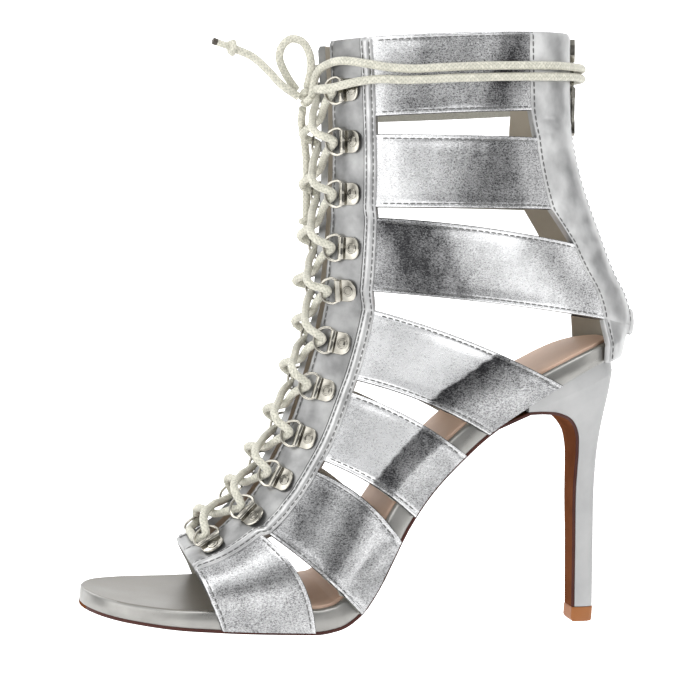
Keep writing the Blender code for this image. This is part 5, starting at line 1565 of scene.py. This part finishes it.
# %% Stitches of the leather
parts = []
for grid, normals, lift in stay_grids.values():
    flipped = [np.swapaxes(a, 0, 1) for a in (grid, normals)] + [lift.T]
    for arc in (THROAT_HALF + STITCH_IN - 0.0003, EYESTAY_ARC + SEAM_STITCH,
                EYESTAY_ARC + SEAM_WIDTH - SEAM_STITCH):
        parts += stitch_row(*row_on(*flipped, stay_arcs, arc))
for grids in (*back_grids.values(), (counter, counter_normals, counter_lift)):
    parts += stitched_columns(*grids)
add_piece("stitches_leather", mesh_of(*merged(parts)), [seam_thread], "silver_leather")
print("leather stitches", len(parts))

# %% [markdown]
# ## Footbed, insole and outsole
# The footbed is a padded board wrapped in the silver leather. Its rim is a soft vertical wall with
# a rounded shoulder, and the tan sock sits on it, a little inside the edge. Below it runs the thin
# leather sole, which bends down at the heel and covers its front. Each is a loft of cross sections
# along the sole's curve.

# %% Lofts along the sole
END_PLACES = np.array([0.0, 0.0002, 0.0006, 0.0012, 0.0020, 0.0030, 0.0043, 0.0058, 0.0076, 0.0098])
STATION_STEP, END_ROOM, INSIDE_TIP = 0.0022, 0.012, 0.00012


def loft(loops):
    """A closed skin over loops of equal length; UVs count metres along and round, times five."""
    loops = np.array(loops)
    rows, columns = loops.shape[:2]
    uv = np.stack([run_along(loops, 0), run_along(loops, 1)], -1).reshape(-1, 2) * UV_PER_METRE
    faces = []
    for i in range(rows - 1):
        for j in range(columns):
            k = (j + 1) % columns
            faces.append((i * columns + j, i * columns + k, (i + 1) * columns + k,
                          (i + 1) * columns + j))
    for start, step in ((0, -1), ((rows - 1) * columns, 1)):
        for j in range(columns // 2 - 1):
            quad = [start + q for q in (j, j + 1, columns - 2 - j, columns - 1 - j)]
            faces.append(tuple(dict.fromkeys(quad))[::step])
    return turned_out(mesh_of(loops.reshape(-1, 3), faces, uv, [0] * len(faces)))


def turned_out(mesh):
    """Turns the faces of a closed mesh outwards."""
    work = bmesh.new()
    work.from_mesh(mesh)
    bmesh.ops.recalc_face_normals(work, faces=work.faces)
    if work.calc_volume(signed=True) < 0:
        bmesh.ops.reverse_faces(work, faces=work.faces)
    work.to_mesh(mesh)
    work.free()
    return mesh


def sole_places(start, end):
    """Places along the sole, close together at its round ends."""
    middle = np.arange(start + END_ROOM, end - END_ROOM, STATION_STEP)
    return np.concatenate([start + END_PLACES, middle, (end - END_PLACES)[::-1]])


def sole_section(x, near):
    """A whole section at a place on the sole, from one half of its outline."""
    outline = [(-side, lift) for side, lift in near] + near[::-1]
    return [sole_point(x, side, lift) for side, lift in outline]


print("places along the sole", len(sole_places(SOLE_START, SOLE_END)))

# %% Footbed
SHOULDER, RIM_BULGE, RIM_FOOT, FACING_UP = 0.0019, 0.00030, 0.0004, 0.9


def rim_outline(half, low, top):
    """Half of a rim section from the bottom edge over the shoulder to the middle of the top."""
    shoulder = min(SHOULDER, (top - low) * 0.45, half * 0.5)
    wall = top - shoulder
    near = [(half - 0.0006, low), (half - 0.0001, low + RIM_FOOT)]
    near += [(half + RIM_BULGE * math.sin(math.pi * s), lerp(low + RIM_FOOT, wall, s))
             for s in (0.15, 0.35, 0.55, 0.75, 1.0)]
    for a in np.radians((15, 30, 45, 60, 75, 90)):
        near.append((half - shoulder * (1 - math.cos(a)), wall + shoulder * math.sin(a)))
    return near + [(half - shoulder - 0.0006, top), (half - shoulder - 0.0012, top - 0.0001)]


loops = []
for x in sole_places(SOLE_START, SOLE_END):
    inside = min(max(x, SOLE_START + INSIDE_TIP), SOLE_END - INSIDE_TIP)
    half = max(half_width(inside), 0.0016)
    loops.append(sole_section(x, rim_outline(half, OUTSOLE_THICK + 0.0001, rim_thick(x))))
rim_mesh = loft(loops)
# Faces that look up take the darker copy: painted shade on the top of the footbed
for face in rim_mesh.polygons:
    face.material_index = 1 if face.normal.z > FACING_UP else 0
rim = add_piece("footbed_wrap", rim_mesh, [rim_leather, footbed_top_shaded], "rim_leather")
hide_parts("footbed")
print("footbed", len(rim.data.polygons), "faces")

# %% Insole sock
INSOLE_START, INSOLE_END = -0.030 * SOLE_LENGTH, SOLE_END - INSOLE_MARGIN
SOCK_POINTS = 9
front_places = np.array([0, 0.0003, 0.0009, 0.0018, 0.0032, 0.005, 0.0075])
loops = []
for x in np.concatenate([INSOLE_START + front_places,
                         np.arange(INSOLE_START + 0.0095, INSOLE_END - END_ROOM, STATION_STEP),
                         INSOLE_END - END_PLACES[::-1]]):
    half = half_width(min(x, SOLE_END - INSIDE_TIP)) - INSOLE_MARGIN
    half *= 0.25 + 0.75 * cap_share(x - INSOLE_START, 0.012)
    half = max(half * cap_share(INSOLE_END - x + 0.0002, 0.016) ** 0.35, 0.0012)
    low, top = rim_thick(x) - 0.0002, rim_thick(x) + GAP + INSOLE_THICK
    near = [(half, low), (half, top - 0.0005), (half - 0.00015, top - 0.00015),
            (half - 0.0005, top), (max(half - 0.0014, 0.0008), top - 0.00022),
            (max(half - 0.0020, 0.0006), top - 0.00005)]
    near += [(half * s, top) for s in (0.75, 0.5, 0.25) if half * s < half - 0.0022]
    while len(near) < SOCK_POINTS:
        near.append((near[-1][0] * 0.6, top))
    loops.append(sole_section(x, near))
sock = add_piece("insole_sock", loft(loops), [insole_leather], "tan_lining")
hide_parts("insole")
print("sock", len(sock.data.polygons), "faces")

# %% Curves of the heel
HEEL_STEPS = 8
fronts = Line([(r[0] * SOLE_LENGTH, r[1] * HEEL_HEIGHT) for r in HEEL_ROWS]
              + [(TIP_FRONT * SOLE_LENGTH, TIP_HEIGHT + GAP)], HEEL_STEPS)
backs = Line([(r[2] * SOLE_LENGTH, r[3] * HEEL_HEIGHT) for r in HEEL_ROWS]
             + [(TIP_BACK * SOLE_LENGTH, TIP_HEIGHT + GAP)], HEEL_STEPS)
heel_halves = [r[4] * BALL_WIDTH for r in HEEL_ROWS] + [TIP_HALF * BALL_WIDTH]
heel_knots, back_knots = fronts.along[::HEEL_STEPS], backs.along[::HEEL_STEPS]


def heel_half(d):
    """Half width of the heel at a distance down its front."""
    return float(np.interp(d, heel_knots, heel_halves))


def in_side_view(p):
    return np.array([p[0], 0.0, p[1]])


print("heel front", round(fronts.length * 1000), "mm long")

# %% Outsole and breast
SLAB_EDGE, BREAST_THICK, FACING_SIDE, SLOPE_STEP = 0.00025, 0.0012, 0.35, 0.0006


def slab(centre, out, half, thick):
    """A thin flat section with softened edges: its inner face on centre, thick along out."""
    across = np.array([0.0, 1.0, 0.0])
    outline = [(-half, 0.0), (-half, thick - SLAB_EDGE), (-half + SLAB_EDGE, thick),
               (half - SLAB_EDGE, thick), (half, thick - SLAB_EDGE), (half, 0.0)]
    return [centre + across * a + out * b for a, b in outline]


loops = []
for x in sole_places(SOLE_START, SEAT_START - 0.002)[:1 - len(END_PLACES)]:
    half = max(half_width(max(x, SOLE_START + INSIDE_TIP)) - OUTSOLE_INSET, 0.0012)
    loops.append(slab(sole_point(x, 0.0, OUTSOLE_THICK), -sole_up(x), half, OUTSOLE_THICK))
for d in (0.0012, *np.linspace(0.004, fronts.length, 70)):
    above, below = max(d - SLOPE_STEP, 0.0), min(d + SLOPE_STEP, fronts.length)
    tangent = unit(fronts.at(below) - fronts.at(above))
    out = np.array([-tangent[1], 0.0, tangent[0]])
    out = -out if out[0] + out[2] > 0 else out
    loops.append(slab(in_side_view(fronts.at(d)) + out * 0.0001, out, heel_half(d) - 0.0002,
                      BREAST_THICK))
outsole_mesh = loft(loops)
for face in outsole_mesh.polygons:
    face.material_index = 1 if abs(face.normal.y) > FACING_SIDE else 0
outsole = add_piece("outsole_leather", outsole_mesh, [sole_leather, edge_leather], "brown_sole")
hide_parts("outsole")
print("outsole sections", len(loops))

# %% [markdown]
# ## Heel
# The heel is moulded plastic covered with the same leather, flat in front and round behind. Its
# sections are read from two curves, the breast and the back, so both keep their long even sweep.
# The hard top piece under it is a little larger and has a softened edge.

# %% Heel and top piece
SECTION_POINTS, HEEL_SECTIONS = 22, 90


def d_section(front, back, half):
    """A closed section, flat in front and round behind, between two points."""
    turns = np.linspace(0, math.pi / 2, SECTION_POINTS)
    shares, wide = np.sin(turns) ** 1.25, np.cos(turns) ** 0.8
    near = [lerp(front, back, s) - np.array([0, half * w, 0]) for s, w in zip(shares, wide)]
    far = [lerp(front, back, s) + np.array([0, half * w, 0]) for s, w in zip(shares, wide)]
    near[-1] = near[-1] - np.array([0, half * 0.02, 0])
    far[-1] = far[-1] + np.array([0, half * 0.02, 0])
    inwards = np.array([0, half * 0.05, 0])
    return [near[0] + inwards, *near, *far[::-1], far[0] - inwards]


def seat_section():
    """The heel's top, on the underside of the sole."""
    section = d_section(np.array([0.0, 0, 0]), np.array([1.0, 0, 0]), 1.0)
    half = (HEEL_ROWS[0][4] + 0.004) * BALL_WIDTH
    made = []
    for p in section:
        x = lerp(SEAT_START + 0.0006, SOLE_END - 0.0004, p[0])
        made.append(sole_point(x, p[1] * half - sole_shift(x), OUTSOLE_THICK))
    return made


loops = [seat_section()]
for d in np.linspace(0, fronts.length, HEEL_SECTIONS):
    behind = backs.at(float(np.interp(d, heel_knots, back_knots)))
    loops.append(d_section(in_side_view(fronts.at(d)), in_side_view(behind), heel_half(d)))
heel = add_piece("heel_cover", loft(loops), [heel_leather], "silver_leather")
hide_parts("heel")
print("heel sections", len(loops))

# %% Top piece
TIP_PROFILE = (  # height, cut back in front, share of the width
    (0.0, 0.0010, 0.94), (0.0003, 0.0007, 0.97), (0.0008, 0.0003, 1.0), (0.0014, 0.0, 1.0),
    (0.0056, 0.0, 1.0), (0.0060, 0.0001, 0.97))
front, back = TIP_FRONT * SOLE_LENGTH - 0.0013, TIP_BACK * SOLE_LENGTH + 0.0002
half = TIP_HALF * BALL_WIDTH + 0.0002
tip = add_piece(
    "heel_top_piece",
    loft([d_section(np.array([front + cut, 0, z]), np.array([back - (1 - share) * 0.004, 0, z]),
                    half * share) for z, cut, share in TIP_PROFILE]),
    [tip_rubber], "tip_rubber")
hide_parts("heel_tip")
print("top piece", round((back - front) * 1000, 1), "mm long")

# %% [markdown]
# ## Zip
# Two woven tapes lie behind the backstay's edges, and two rows of small metal teeth meet between
# them. The teeth are made once and laid along the back curve in turn, left and right. The slider
# and the pull keep their solid shapes, which are exact, and get rounded edges from a Bevel
# modifier and the polished metal.

# %% Zip
def back_frame(share):
    """A point of the back line with the ways out of the shaft and up along it."""
    here = back_line.share(share)
    up = unit(back_line.share(min(share + 0.01, 1.0)) - back_line.share(max(share - 0.01, 0.0)))
    return (np.array([here[0], 0.0, here[1]]), np.array([up[1], 0.0, -up[0]]),
            np.array([up[0], 0.0, up[1]]))


TOOTH_PITCH, ZIP_LOW, ZIP_HIGH = 0.0013, 0.135, 0.990
print("zip", round((ZIP_HIGH - ZIP_LOW) * back_line.length * 1000), "mm long")

# %% Teeth
tooth = np.array([(x, y, z) for x in (-0.0016, 0.0004, 0.0009) for y in (-0.0004, 0.0017)
                  for z in (-0.00055, 0.00055)])
tooth[8:, 2] *= 0.6
tooth[8:, 1] *= 0.8
tooth_faces = [(0, 1, 3, 2), (8, 10, 11, 9), (0, 4, 5, 1), (4, 8, 9, 5), (2, 3, 7, 6),
               (6, 7, 11, 10), (0, 2, 6, 4), (4, 6, 10, 8), (1, 5, 7, 3), (5, 9, 11, 7)]
parts = []
count = int((ZIP_HIGH - ZIP_LOW) * back_line.length / TOOTH_PITCH)
for number, share in enumerate(np.linspace(ZIP_LOW, ZIP_HIGH, count)):
    p, out, up = back_frame(share)
    hand = 1 if number % 2 else -1
    made = [p + out * x + np.array([0, hand * y, 0]) + up * z for x, y, z in tooth]
    faces = [f[::-hand] for f in tooth_faces]
    parts.append((np.array(made), faces, tooth[:, :2] * 100, [0] * len(faces)))
teeth = add_piece("zip_teeth", turned_out(mesh_of(*merged(parts))), [ring_nickel], "nickel",
                  sharp=25)
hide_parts("zip")
print("zip teeth", count)

# %% Tape and end tab
TAPE_DEPTH, TAPE_HALF, TAPE_THICK = 0.0016, 0.0044, 0.0006
TAB_HALF, TAB_LIFT, TAB_THICK, TAB_BEND = 0.0052, 0.0012, 0.0003, 14
rows = []
for share in np.linspace(ZIP_LOW, ZIP_HIGH, 60):
    p, out, up = back_frame(share)
    rows.append([p - out * (TAPE_DEPTH + abs(y) * 0.25) + np.array([0, y, 0])
                 for y in np.linspace(-TAPE_HALF, TAPE_HALF, 9)])
grid = np.array(rows)
add_piece("zip_tape", mesh_of(*shell(grid, grid_normals(grid, away_from_middle),
                                     np.zeros(grid.shape[:2]), TAPE_THICK)),
          [zip_tape, zip_tape], "nickel", sharp=60)

tab_shares, tab_sides = np.linspace(0.070, 0.148, 13), np.linspace(-TAB_HALF, TAB_HALF, 13)
rows, lifts = [], []
for share in tab_shares:
    p, out, up = back_frame(share)
    rows.append([p + np.array([0, y, 0]) - out * (y * y * TAB_BEND) for y in tab_sides])
    high = min(share - tab_shares[0], tab_shares[-1] - share) * back_line.length
    lifts.append([TAB_LIFT + fold_profile(min(high, TAB_HALF - abs(y)) * 0.8) for y in tab_sides])
grid = np.array(rows)
add_piece("zip_end_tab", mesh_of(*shell(grid, grid_normals(grid, away_from_middle),
                                        np.array(lifts), TAB_THICK)),
          [back_leather, stay_lining], **STAY_PIECE)
print("tape and tab", len(grid), "rows")

# %% Slider and pull
for node in ("zip_slider", "zip_pull"):
    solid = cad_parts[node]
    solid.data.materials.clear()
    solid.data.materials.append(ring_nickel)
    bevel = solid.modifiers.new("soft_edges", "BEVEL")
    bevel.width = 0.00022
    bevel.segments = 3
    bevel.limit_method = "ANGLE"
    bevel.angle_limit = math.radians(30)
    print(node, "gets rounded edges of", bevel.width * 1000, "mm")

# %% [markdown]
# ## Light and floor
# Silver leather shows the room more than itself. The photo has a white sweep and large soft
# lights. The same is built here: a pale floor that curves up behind the shoe, a key light to the
# left, a fill to the right, a long light above, a small one behind and a dim world. The camera sees
# the paper and the sky brighter than the leather does, so that the background is white while the
# edges of the shoe keep their grey: Light Path tells the two apart.

# %% Lights
SHOE_MIDDLE = (0.05, 0, 0.12)


def area_light(name, place_at, look_at, wide, tall, power):
    """A soft lamp in watts that looks at a point."""
    data = bpy.data.lights.new(name, "AREA")
    data.shape = "RECTANGLE"
    data.size, data.size_y = wide, tall
    data.energy = power
    lamp = bpy.data.objects.new(name, data)
    bpy.context.scene.collection.objects.link(lamp)
    lamp.location = place_at
    ahead = Vector(look_at) - Vector(place_at)
    lamp.rotation_euler = ahead.to_track_quat("-Z", "Y").to_euler()


area_light("key_left", (-1.05, -0.60, 0.50), (0.04, 0, 0.12), 1.3, 1.3, 8.0)
area_light("fill_right", (1.00, -0.50, 0.35), (0.06, 0, 0.12), 0.8, 1.1, 2.6)
area_light("top_strip", (0.05, -0.35, 1.15), (0.05, 0, 0.1), 1.0, 0.45, 3.8)
area_light("back_left", (-0.5, 0.7, 0.6), SHOE_MIDDLE, 0.5, 0.5, 1.2)
print("lamps", len(bpy.data.lights))

# %% Sky
SKY_LOW, SKY_HIGH = 0.29, 0.93
world = bpy.data.worlds.new("studio")
bpy.context.scene.world = world
world.use_nodes = True
tree = world.node_tree
height = tree.nodes.new("ShaderNodeSeparateXYZ")
tree.links.new(tree.nodes.new("ShaderNodeTexCoord").outputs["Generated"], height.inputs[0])
sky = remap(tree, height.outputs[2], 0.05, 0.8, SKY_LOW, SKY_HIGH)
seen = tree.nodes.new("ShaderNodeLightPath").outputs["Is Camera Ray"]
tree.links.new(calc(tree, "MAXIMUM", sky, seen), tree.nodes["Background"].inputs["Strength"])
tree.nodes["Background"].inputs["Color"].default_value = (0.98, 0.99, 1.0, 1)
bpy.context.scene.view_settings.view_transform = "Standard"
print("sky from", SKY_LOW, "to", SKY_HIGH)

# %% Floor
GLOW_AROUND, GLOW_SEEN, SWEEP_HALF = 0.40, 0.80, 3.0
profile = [(-2.2, 0.0), (0.8, 0.0), (1.0, 0.02), (1.15, 0.08), (1.26, 0.2), (1.3, 0.4), (1.3, 2.4)]
sweep = Line(profile, 8).points
points = [(x, y, z - 0.0002) for y, z in sweep for x in (-SWEEP_HALF, SWEEP_HALF)]
faces = [(2 * i, 2 * i + 1, 2 * i + 3, 2 * i + 2) for i in range(len(sweep) - 1)]
floor_mesh = bpy.data.meshes.new("studio_sweep")
floor_mesh.from_pydata(points, [], faces)
floor_mesh.shade_smooth()
floor = bpy.data.objects.new("studio_sweep", floor_mesh)
bpy.context.scene.collection.objects.link(floor)
paper = bpy.data.materials.new("paper")
paper.use_nodes = True
sheet = paper.node_tree.nodes["Principled BSDF"]
tree = paper.node_tree
fibre = remap(tree, noise(tree, place(tree), 400, 2), 0.3, 0.7)
mixed(tree, fibre, (0.93, 0.93, 0.93), (0.96, 0.96, 0.96), sheet.inputs["Base Color"])
sheet.inputs["Roughness"].default_value = 0.9
sheet.inputs["Emission Color"].default_value = (1, 1, 1, 1)
seen = tree.nodes.new("ShaderNodeLightPath").outputs["Is Camera Ray"]
glow = remap(tree, seen, 0.0, 1.0, GLOW_AROUND, GLOW_SEEN)
tree.links.new(glow, sheet.inputs["Emission Strength"])
floor_mesh.materials.append(paper)
floor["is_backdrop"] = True
print("floor rows", len(sweep))

# %% [markdown]
# ## Finish
# The box of the dressed shoe is worked out, with the backdrop left out.

# %% Finish
low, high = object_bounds()
